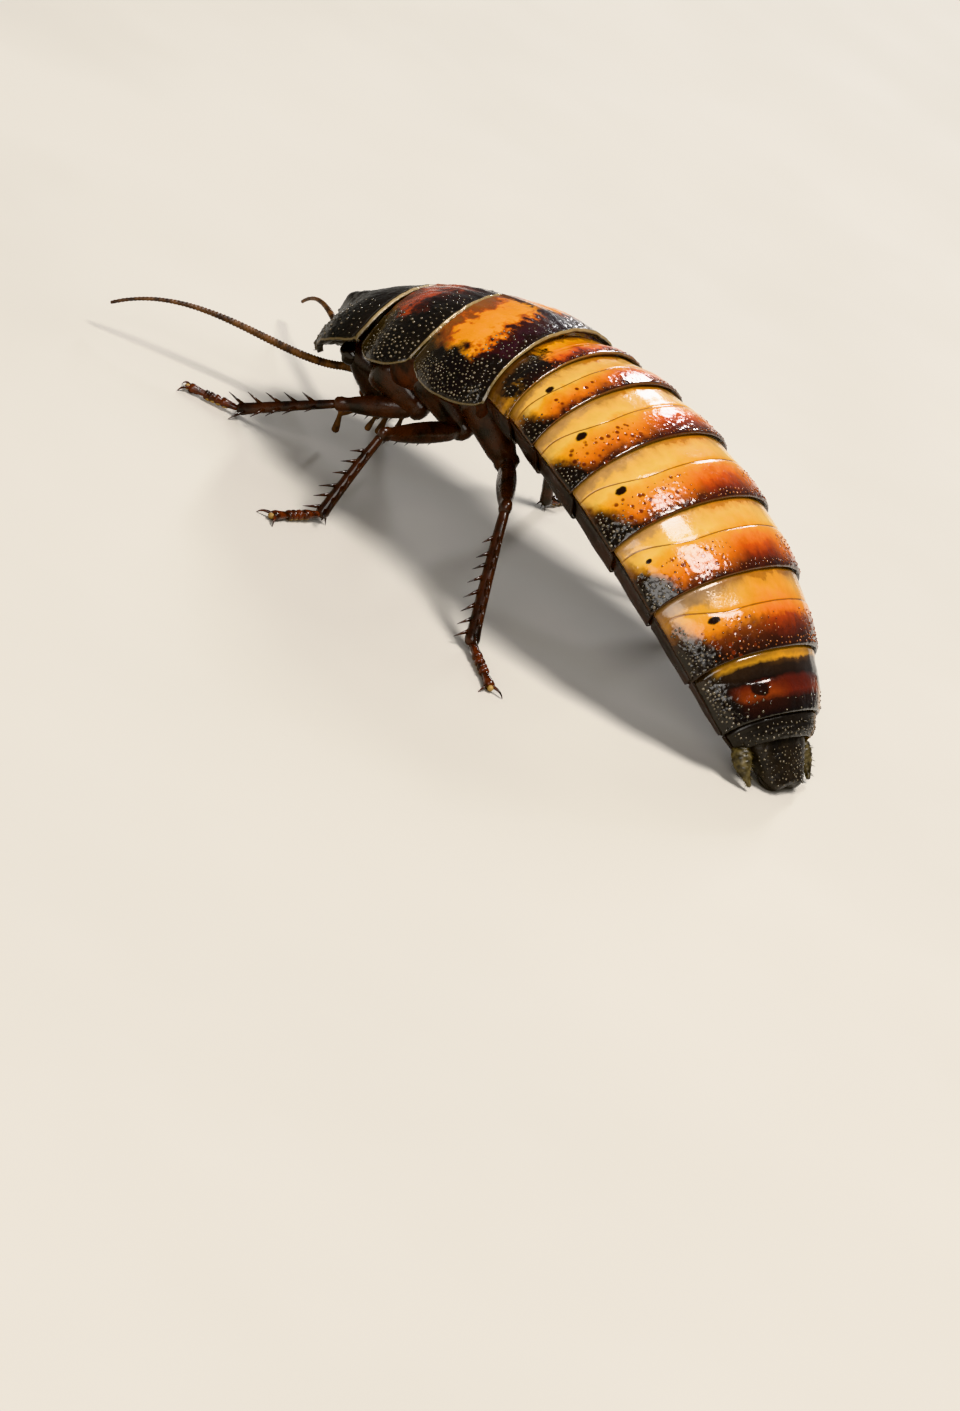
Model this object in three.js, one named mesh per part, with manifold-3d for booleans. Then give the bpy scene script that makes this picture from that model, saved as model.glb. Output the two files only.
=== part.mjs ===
// A Madagascar hissing cockroach, life size, as a still museum model in millimetres.
// +X points to the head, +Y to the animal's left, +Z up; the feet and the tail rest on z = 0.
// The back is arched as on a branch: a spine curve runs at the level of the plates' side edges,
// from the front edge of the pronotum (s = 0) to the tip of the last plate, and every body part
// is placed by its distance s along that curve, its offset to the left and its height.
import * as THREE from "three";
import { mergeVertices } from "three/addons/utils/BufferGeometryUtils.js";
import Module from "manifold-3d";

const wasm = await Module();
wasm.setup();

// Driving dimensions

const bodyLength = 75;
const gap = 0.3;
const frontEdge = new THREE.Vector3(24.97, -0.6, 6.1);

// Nose-down pitch of the body and its turn to the left, in degrees, at distances along the spine
const pitchAt = [[0, 58], [6, 44], [12, 29], [25, 5], [37.5, -12], [50, -22], [62, -35], [75, -46]];
const turnAt = [[0, -9], [12, -2], [22, 3], [50, 3], [75, 0]];

// Back plates of the thorax: front and hind edge along the spine, half width, height of the back,
// drop of the side edges, half angle of the arch across and sweep of the side corners to the rear
const pronotumSize = { front: 0, hind: 12.5, halfWidth: 10.3, height: 5.1, drop: 0.1, wrap: 50, sweep: -0.9 };
const mesonotumSize = { front: 12.8, hind: 19.3, halfWidth: 11.5, height: 5.6, drop: 1.0, wrap: 60, sweep: -0.9 };
const metanotumSize = { front: 19.6, hind: 27.3, halfWidth: 12.6, height: 6.2, drop: 1.0, wrap: 76, sweep: 0.9 };
const plateThickness = 1.0;
const plateEdge = 0.6;
const hornHeight = 1.5;

// Abdomen: hind edge of each ring, half width there, height of the back, depth of the belly
const abdomenFront = 27.6;
const rings = [
  { hind: 30.6, halfWidth: 12.1, height: 6.2, belly: 4.0, sweep: 0.6, wrap: 79 },
  { hind: 35.1, halfWidth: 12.9, height: 6.6, belly: 4.3, sweep: 0.3, wrap: 79 },
  { hind: 41.3, halfWidth: 13.1, height: 7.0, belly: 4.5, sweep: 0.3, wrap: 80 },
  { hind: 48.2, halfWidth: 13.0, height: 6.8, belly: 4.5, sweep: 0.4, wrap: 81 },
  { hind: 55.0, halfWidth: 12.1, height: 6.3, belly: 4.2, sweep: 0.7, wrap: 81 },
  { hind: 62.0, halfWidth: 9.8, height: 5.5, belly: 3.6, sweep: 0.9, wrap: 81 },
  { hind: 67.7, halfWidth: 7.2, height: 4.4, belly: 2.7, sweep: 0.6, wrap: 80 },
  { hind: 69.8, halfWidth: 5.3, height: 3.2, belly: 1.9, sweep: 0.3, wrap: 78 },
];
const ringStep = 0.5;
const ringEdge = 0.8;

// Thorax underside, between the plates and the legs
const thoraxSize = { front: 9.2, hind: 27.2, halfWidth: 7.6, wall: 1.6, belly: 4.6 };

// Head: half width, half depth and half height of the capsule, and its place under the pronotum
const headSize = new THREE.Vector3(2.5, 3.6, 4.3);
const headPlace = { s: 5.0, height: -2.2 };
const eyeSize = new THREE.Vector3(1.25, 0.95, 1.75);

// Legs: place of the coxa along the spine, lengths, girth, ankle ahead of the front edge and to the
// side, the way the toe points and the way the knee bends
const legs = [
  {
    name: "front", hip: 11.6, coxa: 5.0, femur: 8.2, tibia: 6.6, tarsus: 5.2, girth: 0.95, spines: 4,
    ankle: [-0.1, 11.6], toe: [0.86, 0.51], knee: [0.55, 0.45, 0.7],
  },
  {
    name: "middle", hip: 17.4, coxa: 5.8, femur: 10.4, tibia: 9.6, tarsus: 6.2, girth: 1.0, spines: 5,
    ankle: [-18.1, 18.2], toe: [0.12, 0.99], knee: [0.2, 0.35, 0.9],
  },
  {
    name: "hind", hip: 23.7, coxa: 6.6, femur: 12.4, tibia: 13.6, tarsus: 7.4, girth: 1.1, spines: 7,
    ankle: [-39.6, 18.6], toe: [-0.84, 0.54], knee: [-0.1, 0.35, 0.95],
  },
];
const footLevel = 0.5;

// Small helpers

const clamp01 = (x) => Math.min(1, Math.max(0, x));
const smooth = (x) => clamp01(x) ** 2 * (3 - 2 * clamp01(x));
// Share of a plate's sweep at v across it: none along the middle, all of it at the side corners
const sweptBack = (v) => Math.abs(v) ** 3.5;
const mix = (a, b, t) => a + (b - a) * t;

// Value of a table of [place, value] pairs at x
function along(table, x) {
  const next = table.findIndex(([place]) => place >= x);
  if (next === 0) return table[0][1];
  if (next < 0) return table[table.length - 1][1];
  const [x0, y0] = table[next - 1];
  const [x1, y1] = table[next];
  return mix(y0, y1, (x - x0) / (x1 - x0));
}

// Spine

function directionsAt(s) {
  const turn = THREE.MathUtils.degToRad(along(turnAt, s));
  const pitch = THREE.MathUtils.degToRad(along(pitchAt, s));
  const rotation = new THREE.Matrix4().makeRotationZ(turn).multiply(new THREE.Matrix4().makeRotationY(pitch));
  const [forward, left, up] = [new THREE.Vector3(), new THREE.Vector3(), new THREE.Vector3()];
  rotation.extractBasis(forward, left, up);
  return { forward, left, up };
}

const spineStep = 0.25;
const spine = [frontEdge.clone()];
for (let s = spineStep; s <= bodyLength + 1; s += spineStep) {
  const back = directionsAt(s - spineStep / 2).forward.multiplyScalar(-spineStep);
  spine.push(spine[spine.length - 1].clone().add(back));
}

// Point at distance s along the spine, offset to the animal's left and upwards
function bodyPoint(s, left, up) {
  const at = Math.min(spine.length - 2, Math.max(0, s / spineStep));
  const low = Math.floor(at);
  const frame = directionsAt(s);
  const point = spine[low].clone().lerp(spine[low + 1], at - low);
  if (s < 0) point.addScaledVector(frame.forward, -s);
  return point.addScaledVector(frame.left, left).addScaledVector(frame.up, up);
}

// Direction given in the body's own axes at distance s
function bodyDirection(s, forward, left, up) {
  const frame = directionsAt(s);
  const sum = frame.forward.multiplyScalar(forward);
  return sum.addScaledVector(frame.left, left).addScaledVector(frame.up, up);
}

// Solids

function toSolid(geometry) {
  const bare = geometry.index ? geometry.toNonIndexed() : geometry.clone();
  bare.deleteAttribute("normal");
  bare.deleteAttribute("uv");
  const merged = mergeVertices(bare, 1e-4);
  const vertProperties = merged.attributes.position.array;
  const triVerts = new Uint32Array(merged.index.array);
  const solid = new wasm.Manifold(new wasm.Mesh({ numProp: 3, vertProperties, triVerts }));
  if (solid.volume() > 0) return solid;
  // A shape mirrored to the right side comes out inside out, so its triangles are turned round
  return new wasm.Manifold(new wasm.Mesh({ numProp: 3, vertProperties, triVerts: triVerts.reverse() }));
}

function largest(solid) {
  return solid.decompose().reduce((best, part) => (part.volume() > best.volume() ? part : best));
}

function fuse(parts) {
  return largest(parts.reduce((whole, part) => whole.add(part)));
}

function toGeometry(solid) {
  const mesh = solid.getMesh();
  const positions = new Float32Array(mesh.numVert * 3);
  for (let i = 0; i < mesh.numVert; i++) {
    const from = i * mesh.numProp;
    positions.set(mesh.vertProperties.subarray(from, from + 3), i * 3);
  }
  const geometry = new THREE.BufferGeometry();
  geometry.setAttribute("position", new THREE.BufferAttribute(positions, 3));
  geometry.setIndex(new THREE.BufferAttribute(mesh.triVerts, 1));
  geometry.computeVertexNormals();
  return geometry;
}

// Moves every vertex of a three.js geometry by a function
function reshape(geometry, move) {
  const position = geometry.getAttribute("position");
  const point = new THREE.Vector3();
  for (let i = 0; i < position.count; i++) {
    move(point.fromBufferAttribute(position, i));
    position.setXYZ(i, point.x, point.y, point.z);
  }
  return geometry;
}

// A bent slab: u runs from its front edge to its hind edge, v from -1 at the right edge to 1 at the
// left edge, w from 0 on its underside to 1 on its back; place(u, v, w) gives [s, left, up].
function slab(lengthwise, across, place) {
  const box = new THREE.BoxGeometry(1, 1, 1, lengthwise, across, 1);
  return toSolid(
    reshape(box, (p) => {
      const [s, left, up] = place(0.5 - p.x, 2 * p.y, p.z + 0.5);
      p.copy(bodyPoint(s, left, up));
    }),
  );
}

// A tube along a curve, radius(t) thick, wide times as broad as it is high
function tube(curve, radius, steps, sides, { wide = 1, grow = 0, upright = new THREE.Vector3(0, 0, 1) } = {}) {
  const cylinder = new THREE.CylinderGeometry(1, 1, 1, sides, steps);
  return toSolid(
    reshape(cylinder, (p) => {
      const t = clamp01(0.5 - p.y);
      const forward = curve.getTangentAt(t);
      const side = new THREE.Vector3().crossVectors(upright, forward).normalize();
      const rise = new THREE.Vector3().crossVectors(forward, side);
      const reach = radius(t) + grow;
      const end = p.y > 0.4999 ? -grow : p.y < -0.4999 ? grow : 0;
      const [across, high] = [p.x * reach * wide, p.z * reach];
      p.copy(curve.getPointAt(t)).addScaledVector(forward, end);
      p.addScaledVector(side, across).addScaledVector(rise, high);
    }),
  );
}

function straight(a, b) {
  return new THREE.LineCurve3(a, b);
}

function ball(centre, radius, detail = 8) {
  return toSolid(new THREE.SphereGeometry(radius, detail, Math.max(4, detail / 2)).translate(...centre));
}

function thorn(root, direction, length, radius) {
  const cone = new THREE.ConeGeometry(radius, length, 5).translate(0, length / 2, 0);
  const turn = new THREE.Quaternion().setFromUnitVectors(new THREE.Vector3(0, 1, 0), direction.clone().normalize());
  return toSolid(cone.applyQuaternion(turn).translate(...root));
}

// Everything below the floor is cut off, which leaves the small flats that the animal rests on
function flatBelow(solid) {
  const floor = new THREE.BoxGeometry(200, 200, 20).translate(0, 0, -10);
  return largest(solid.subtract(toSolid(floor)));
}

// Back plates of the thorax

// Arch across a plate at v: share of its half width and share of its height, over an arc that
// ends wrap degrees from the top, so that a lower wrap gives flatter sides
function archAt(v, wrap) {
  const end = THREE.MathUtils.degToRad(wrap);
  return [Math.sin(v * end) / Math.sin(end), (Math.cos(v * end) - Math.cos(end)) / (1 - Math.cos(end))];
}

function plate(size, lengthwise, across, outline, relief) {
  return slab(lengthwise, across, (u, v, w) => {
    const shape = outline(u, v);
    const [out, over] = archAt(v, size.wrap);
    const left = out * (size.halfWidth * shape.width - (1 - w) * plateEdge);
    const arch = mix(-size.drop, size.height, over) - (1 - w) * plateThickness * mix(0.55, 1, over);
    return [mix(size.front, size.hind, u) + shape.sweep, left, arch * shape.rise + relief(u, v)];
  });
}

// Two rounded horns, a dimple between them and an upturned front rim
function pronotumRelief(u, v) {
  const horn = Math.exp(-(((u - 0.42) / 0.17) ** 2) - ((Math.abs(v) - 0.27) / 0.13) ** 2);
  const dimple = Math.exp(-(((u - 0.42) / 0.2) ** 2) - (v / 0.12) ** 2);
  const rim = Math.exp(-((u / 0.07) ** 2)) * Math.cos((v * Math.PI) / 2);
  return hornHeight * horn - 0.4 * dimple + 0.7 * rim;
}

function pronotum() {
  return plate(
    pronotumSize, 14, 18,
    (u, v) => ({
      width: mix(0.5, 1, Math.sin((Math.min(1, u / 0.72) * Math.PI) / 2) ** 0.9),
      rise: mix(0.34, 1, smooth(u / 0.8)),
      sweep: mix(2.2 * Math.abs(v) ** 2.5, pronotumSize.sweep * sweptBack(v), smooth(u)),
    }),
    pronotumRelief,
  );
}

// Side lobes of the two hind thorax plates: rounded corners, widest at two thirds of the length
function lobe(u, v, frontSweep, hindSweep) {
  const corner = 1 - 0.1 * (1 - smooth(u / 0.35)) - 0.05 * smooth((u - 0.75) / 0.25);
  return { width: corner, rise: 1, sweep: mix(frontSweep, hindSweep, u) * sweptBack(v) };
}

function lift(u) {
  return -0.35 * (1 - smooth(u / 0.6));
}

function mesonotum() {
  return plate(mesonotumSize, 6, 16, (u, v) => lobe(u, v, pronotumSize.sweep, mesonotumSize.sweep), lift);
}

function metanotum() {
  return plate(metanotumSize, 6, 16, (u, v) => lobe(u, v, mesonotumSize.sweep, metanotumSize.sweep), lift);
}

// Thorax underside

const plateTables = [pronotumSize, mesonotumSize, metanotumSize];

// Lowest inner face of the back plates at distance s and offset left
function plateCeiling(s, left) {
  const over = plateTables.filter((size) => s > size.front - 1.5 && s < size.hind + 1.5);
  const heights = over.map((size) => {
    const reach = size.halfWidth * 0.9 - plateEdge;
    const across = Math.min(1, Math.abs(left) / reach);
    const [, over] = archAt(across, size.wrap);
    return mix(-size.drop, size.height - plateThickness, over);
  });
  return Math.min(...heights) - 0.75;
}

function thoraxUnderside(grow = 0) {
  const { front, hind, halfWidth, wall, belly } = thoraxSize;
  return slab(8, 10, (u, v, w) => {
    const s = mix(front - grow, hind + grow, u);
    const reach = (halfWidth + grow) * mix(0.72, 1, smooth(u / 0.3));
    const left = Math.sin((v * Math.PI) / 2) * reach;
    const keel = Math.cos((v * Math.PI) / 2) ** 0.7;
    const top = plateCeiling(s, left) * mix(0.62, 1, smooth(u / 0.35));
    const bottom = -wall - keel * belly - grow;
    return [s, left, w > 0.5 ? Math.max(top, bottom + 1.2) : bottom];
  });
}

// Abdomen

// One ring of the abdomen: an arched back plate whose hind edge stands over the next ring,
// side corners swept back, and a rounded belly plate below
function abdomenRing(index) {
  const ring = rings[index];
  const before = rings[index - 1] ?? {
    hind: abdomenFront - gap, halfWidth: 11.8, height: 5.9, belly: 3.9, sweep: metanotumSize.sweep, wrap: 78,
  };
  return slab(5, 16, (u, v, w) => {
    const sweep = mix(before.sweep, ring.sweep, u) * sweptBack(v);
    const s = mix(before.hind + gap, ring.hind, u) + sweep;
    const stepIn = ringStep * (1 - smooth(u / 0.7));
    const reach = mix(before.halfWidth, ring.halfWidth, u) - stepIn;
    const [out, over] = archAt(v, mix(before.wrap, ring.wrap, u));
    const left = out * reach;
    if (w > 0.5) {
      const height = mix(before.height, ring.height, u) - stepIn;
      return [s, left, height * over];
    }
    const depth = mix(before.belly, ring.belly, u) - stepIn * 0.5;
    const fold = smooth((1 - Math.abs(left) / reach) / 0.3);
    return [s, left, -ringEdge - (depth - ringEdge) * fold];
  });
}

// Last back plate: a dark tongue with a shallow notch at its tip
const lastPlateSize = { front: 70.1, hind: 74.6, halfWidth: 4.3, height: 2.8, thickness: 1.8 };

function supraAnalPlate(grow = 0) {
  const { front, hind, halfWidth, height, thickness } = lastPlateSize;
  return slab(6, 10, (u, v, w) => {
    const notch = u * 0.9 * Math.exp(-((v / 0.22) ** 2));
    const round = 1.6 * u * Math.abs(v) ** 2.5;
    const reach = halfWidth * mix(1, 0.66, smooth(u)) + grow;
    const left = Math.sin((v * Math.PI) / 2) * reach;
    const up = mix(height, 1.3, u) * Math.cos((v * Math.PI) / 2);
    const under = mix(thickness, 1.0, u) * mix(0.4, 1, Math.cos((v * Math.PI) / 2));
    const s = mix(front - grow, hind, u) - notch - round;
    return [s, left, w > 0.5 ? up + grow : up * 0.25 - under - grow];
  });
}

// Short ringed feelers at the tail, growing out beside the last plate
function cercus(side) {
  const path = new THREE.QuadraticBezierCurve3(
    bodyPoint(69.0, side * 4.5, -0.3),
    bodyPoint(71.6, side * 5.6, -0.2),
    bodyPoint(73.4, side * 5.0, -0.1),
  );
  const beads = 6;
  const radius = (t) => mix(0.95, 0.4, t ** 1.4) * (1 + 0.13 * Math.sin(t * beads * 2 * Math.PI)) * (t > 0.99 ? 0.5 : 1);
  return largest(
    tube(path, radius, 18, 8)
      .subtract(ringGrown(rings.length - 1))
      .subtract(supraAnalPlate(gap * 1.6)),
  );
}

// A slab a gap larger than ring index all round, for cutting what grows from it
function ringGrown(index) {
  const ring = rings[index];
  const before = rings[index - 1];
  return slab(2, 10, (u, v, w) => {
    const s = mix(before.hind, ring.hind + gap * 1.3, u) + ring.sweep * sweptBack(v);
    const reach = mix(before.halfWidth, ring.halfWidth, u) + gap;
    const [out, over] = archAt(v, ring.wrap);
    const left = out * reach;
    const height = (mix(before.height, ring.height, u) + gap) * over;
    return [s, left, w > 0.5 ? height + 0.1 : -mix(before.belly, ring.belly, u) - gap];
  });
}

// Head

const headFrame = new THREE.Matrix4();
{
  const { forward, left, up } = directionsAt(headPlace.s);
  const centre = bodyPoint(headPlace.s, 0, headPlace.height);
  headFrame.makeBasis(forward, left, up).setPosition(centre);
}

// Point in the head's own axes: forward out of the face, left, and up to the crown
function headPoint(forward, left, up) {
  return new THREE.Vector3(forward, left, up).applyMatrix4(headFrame);
}

function headDirection(forward, left, up) {
  return new THREE.Vector3(forward, left, up).transformDirection(headFrame);
}

// Pear-shaped capsule: broad at the eyes, narrow at the mouth, flatter in front
function headCapsule(grow = 0) {
  const sphere = new THREE.SphereGeometry(1, 18, 14);
  return toSolid(
    reshape(sphere, (p) => {
      const taper = mix(0.55, 1, smooth((p.y + 1) / 1.5));
      const [depth, width, height] = [headSize.x + grow, headSize.y + grow, headSize.z + grow];
      const face = p.x > 0 ? 0.85 : 1;
      p.copy(headPoint(p.x * depth * face * mix(0.8, 1, taper), p.z * width * taper, p.y * height));
    }),
  );
}

function eye(side, grow = 0) {
  const sphere = new THREE.SphereGeometry(1, 12, 8);
  sphere.scale(eyeSize.x + grow, eyeSize.z + grow, eyeSize.y + grow);
  return toSolid(
    reshape(sphere, (p) => {
      const bend = 0.12 * p.y * p.y;
      p.copy(headPoint(p.x + 0.7 - bend, side * (p.z + 2.85), p.y + 1.35));
    }),
  );
}

// Upper lip below the face and the two jaws behind it
function mouthparts() {
  const lip = new THREE.SphereGeometry(1, 10, 8).scale(0.55, 1.1, 1.35);
  const parts = [toSolid(reshape(lip, (p) => p.copy(headPoint(p.x + 1.35, p.z * 0.9, p.y - 3.9))))];
  for (const side of [-1, 1]) {
    const jaw = new THREE.SphereGeometry(1, 10, 8).scale(0.8, 1.2, 0.75);
    parts.push(toSolid(reshape(jaw, (p) => p.copy(headPoint(p.x + 0.5, side * (p.z + 1.15), p.y - 3.7)))));
  }
  return parts;
}

function head() {
  let solid = fuse([headCapsule(), ...mouthparts()]);
  for (const side of [-1, 1]) {
    solid = solid.subtract(eye(side, gap)).subtract(antennaSocket(side));
  }
  return largest(solid);
}

function neck() {
  const path = straight(headPoint(-1.0, 0, 0.6), bodyPoint(thoraxSize.front + 1.5, 0, -0.6));
  return largest(
    tube(path, () => 1.9, 4, 12, { wide: 1.3 }).subtract(headCapsule(gap)).subtract(thoraxUnderside(gap)),
  );
}

// Feelers: a stout base and a long whip of small rings, curving forwards, out and down
function antennaPath(side) {
  const outward = side > 0 ? 1 : 0.8;
  const root = headPoint(1.6, side * 1.4, 0.35);
  const tip = root.clone().add(new THREE.Vector3(19, side * 15 * outward, -4.6));
  const first = root.clone().add(headDirection(4.6, side * 1.6, 0.6).setLength(7));
  const second = root.clone().add(new THREE.Vector3(13.5, side * 9.5 * outward, 1.5));
  return new THREE.CubicBezierCurve3(root, first, second, tip);
}

function antennaSocket(side) {
  return ball(antennaPath(side).getPointAt(0), 0.95, 10);
}

function antenna(side) {
  const path = antennaPath(side);
  const rounds = 13;
  const radius = (t) => {
    const base = mix(0.62, 0.42, smooth(t / 0.09));
    const whip = mix(base, 0.2, smooth((t - 0.35) / 0.65));
    return (whip + 0.045 * Math.sin(t * rounds * 2 * Math.PI)) * (t > 0.995 ? 0.6 : 1);
  };
  return largest(tube(path, radius, 52, 6));
}

// Jointed mouth feelers: each a chain of small club-shaped lengths
function palp(side, joints, girth) {
  const points = joints.map(([forward, left, up]) => headPoint(forward, side * left, up));
  const parts = [];
  for (let i = 1; i < points.length; i++) {
    const radius = (t) => girth * mix(0.72, 1.05, smooth(t * 1.3)) * (t > 0.98 ? 0.7 : 1);
    const overlap = points[i - 1].clone().lerp(points[i], -0.06);
    parts.push(tube(straight(overlap, points[i]), radius, 3, 6));
  }
  return largest(fuse(parts).subtract(headCapsule(gap)).subtract(fuseMouth(gap)));
}

function fuseMouth(grow) {
  const spheres = [[1.35, 0, -3.9, 1.4], [0.5, 1.15, -3.7, 1.25], [0.5, -1.15, -3.7, 1.25]];
  return spheres
    .map(([forward, left, up, radius]) => ball(headPoint(forward, left, up), radius + grow * 0.5, 10))
    .reduce((whole, part) => whole.add(part));
}

const upperPalp = [[0.1, 1.9, -3.3], [0.9, 3.0, -4.3], [2.6, 3.4, -4.2], [3.9, 3.1, -5.6]];
const lowerPalp = [[-0.6, 1.0, -4.0], [-0.6, 1.9, -5.3], [0.6, 2.1, -6.2]];

// Legs

// Knee of a two-bone leg from hip to ankle, bent towards the given direction
function kneeOf(hip, ankle, upper, lower, towards) {
  const axis = ankle.clone().sub(hip);
  const reach = Math.min(axis.length(), upper + lower - 0.05);
  axis.normalize();
  const distance = (upper ** 2 - lower ** 2 + reach ** 2) / (2 * reach);
  const height = Math.sqrt(Math.max(0, upper ** 2 - distance ** 2));
  const side = towards.clone().addScaledVector(axis, -towards.dot(axis)).normalize();
  return hip.clone().addScaledVector(axis, distance).addScaledVector(side, height);
}

function legPoints(leg, side) {
  const base = bodyPoint(leg.hip, side * 5.4, -3.2);
  const trochanter = base.clone().add(bodyDirection(leg.hip, -0.62, -side * 0.3, -0.72).setLength(leg.coxa));
  const ankle = new THREE.Vector3(frontEdge.x + leg.ankle[0], side * leg.ankle[1], footLevel + 0.35);
  const knee = kneeOf(trochanter, ankle, leg.femur, leg.tibia, new THREE.Vector3(leg.knee[0], side * leg.knee[1], leg.knee[2]));
  const toe = ankle.clone().add(new THREE.Vector3(leg.toe[0], side * leg.toe[1], 0).setLength(leg.tarsus));
  toe.z = footLevel;
  return { base, trochanter, knee, ankle, toe };
}

// Broad flat hip joint, pressed against the thorax
function coxa(leg, side, grow = 0) {
  const { base, trochanter } = legPoints(leg, side);
  const radius = (t) => mix(2.05, 1.25, t) * (t < 0.01 ? 0.5 : 1) * (t > 0.98 ? 0.6 : 1);
  return tube(straight(base, trochanter), radius, 5, 10, {
    wide: 1.15, grow, upright: bodyDirection(leg.hip, 0.6, 0, 0.8),
  });
}

// Thigh: thickest a third of the way out, with a small ring where it joins the coxa
function femur(leg, side, grow = 0) {
  const { trochanter, knee } = legPoints(leg, side);
  const radius = (t) => {
    const swell = mix(0.75, 1.18, Math.sin(clamp01(t * 1.15) * Math.PI) ** 0.8);
    return leg.girth * swell * (t > 0.97 ? 0.75 : 1);
  };
  return tube(straight(trochanter, knee), radius, 7, 8, { wide: 0.72, grow });
}

function tibia(leg, side) {
  const { knee, ankle } = legPoints(leg, side);
  const axis = ankle.clone().sub(knee).normalize();
  const radius = (t) => leg.girth * mix(0.5, 0.66, t);
  const parts = [tube(straight(knee, ankle), radius, 4, 8)];
  const outward = new THREE.Vector3(0, side, 0.35).addScaledVector(axis, -axis.dot(new THREE.Vector3(0, side, 0.35)));
  outward.normalize();
  const across = new THREE.Vector3().crossVectors(axis, outward);
  for (let i = 0; i < leg.spines; i++) {
    const t = mix(0.22, 0.93, i / (leg.spines - 1));
    const root = knee.clone().lerp(ankle, t);
    for (const row of [-1, 1]) {
      const lean = outward.clone().multiplyScalar(0.75).addScaledVector(across, row * 0.7).addScaledVector(axis, 0.75);
      parts.push(thorn(root, lean, mix(1.9, 2.35, t), 0.34));
    }
  }
  return fuse(parts);
}

// Foot: four short joints and a long one, then two claws with a pad between them
function tarsus(leg, side) {
  const { ankle, toe } = legPoints(leg, side);
  const shares = [0, 0.32, 0.46, 0.58, 0.68, 1];
  const parts = [];
  for (let i = 1; i < shares.length; i++) {
    const from = ankle.clone().lerp(toe, shares[i - 1] - (i > 1 ? 0.02 : 0));
    const to = ankle.clone().lerp(toe, shares[i]);
    parts.push(tube(straight(from, to), (t) => mix(0.42, 0.6, t), 1, 8));
  }
  const axis = toe.clone().sub(ankle).normalize();
  const across = new THREE.Vector3().crossVectors(new THREE.Vector3(0, 0, 1), axis);
  for (const row of [-1, 1]) {
    const spread = axis.clone().addScaledVector(across, row * 0.8);
    parts.push(thorn(toe.clone().addScaledVector(axis, -0.3), spread, 1.9, 0.34));
  }
  parts.push(ball(toe, 0.55, 8));
  return fuse(parts);
}

// What a leg part is cut back from, so that it stops a gap short of the part that it grows from
function legSolids(leg, side) {
  const ownCoxa = largest(coxa(leg, side).subtract(thoraxUnderside(gap)));
  const { knee, ankle } = legPoints(leg, side);
  const ownFemur = largest(femur(leg, side).subtract(coxa(leg, side, gap)).subtract(thoraxUnderside(gap)));
  const kneeRoom = femur(leg, side, gap).add(ball(knee, leg.girth * 0.8, 8));
  const ownTibia = largest(tibia(leg, side).subtract(kneeRoom));
  const ankleRoom = ball(ankle, leg.girth * 0.66 + gap + 0.1, 8);
  const ownTarsus = flatBelow(tarsus(leg, side).subtract(ankleRoom).subtract(shinGrown(leg, side)));
  return { coxa: ownCoxa, femur: ownFemur, tibia: flatBelow(ownTibia), tarsus: ownTarsus };
}

function shinGrown(leg, side) {
  const { knee, ankle } = legPoints(leg, side);
  return tube(straight(knee, ankle), (t) => leg.girth * mix(0.5, 0.66, t), 2, 8, { grow: gap * 1.5 });
}

// Finishes

const finish = (color, roughness) => new THREE.MeshStandardMaterial({ color, roughness, metalness: 0 });
const blackShell = finish(0x1a1411, 0.35);
const amberShell = finish(0xc96a1c, 0.32);
const umberShell = finish(0x3a2015, 0.35);
const bellyShell = finish(0x6b3a1c, 0.4);
const legShell = finish(0x2b1a12, 0.38);
const membrane = finish(0xc9a06a, 0.5);
const eyeShell = finish(0x120d0b, 0.2);
const feelerShell = finish(0x6a4a2c, 0.5);

// Assembly

const cockroach = new THREE.Group();

function add(name, solid, material) {
  const mesh = new THREE.Mesh(toGeometry(solid), material);
  mesh.name = name;
  cockroach.add(mesh);
}

add("pronotum", pronotum(), blackShell);
add("mesonotum", mesonotum(), umberShell);
add("metanotum", metanotum(), umberShell);
add("thorax_underside", thoraxUnderside(), bellyShell);
rings.forEach((_, index) => {
  add(`abdomen_segment_${index + 1}`, abdomenRing(index), index < 6 ? amberShell : blackShell);
});
add("supra_anal_plate", flatBelow(supraAnalPlate()), blackShell);
add("head", head(), umberShell);
add("neck", neck(), membrane);
for (const [side, word] of [[1, "left"], [-1, "right"]]) {
  add(`eye_${word}`, eye(side), eyeShell);
  add(`antenna_${word}`, antenna(side), feelerShell);
  add(`maxillary_palp_${word}`, palp(side, upperPalp, 0.42), feelerShell);
  add(`labial_palp_${word}`, palp(side, lowerPalp, 0.36), feelerShell);
  add(`cercus_${word}`, cercus(side), feelerShell);
  for (const leg of legs) {
    for (const [joint, solid] of Object.entries(legSolids(leg, side))) {
      add(`${leg.name}_${joint}_${word}`, solid, legShell);
    }
  }
}

export default cockroach;
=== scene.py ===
# Looks of a Madagascar hissing cockroach, a still life-size museum model.
# Lengths are millimetres until a piece is finished, +X to the head, +Y to the animal's left, +Z up.
# The back follows a spine curve at the level of the plates' side edges: s is the distance along it
# from the front of the pronotum, and body_point(s, left, up) gives a place on the animal.
import random
from itertools import product
from math import acos, atan2, cos, exp, floor, hypot, pi, radians, sin, sqrt

import bmesh
import bpy
from mathutils import Matrix, Vector, noise


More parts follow.
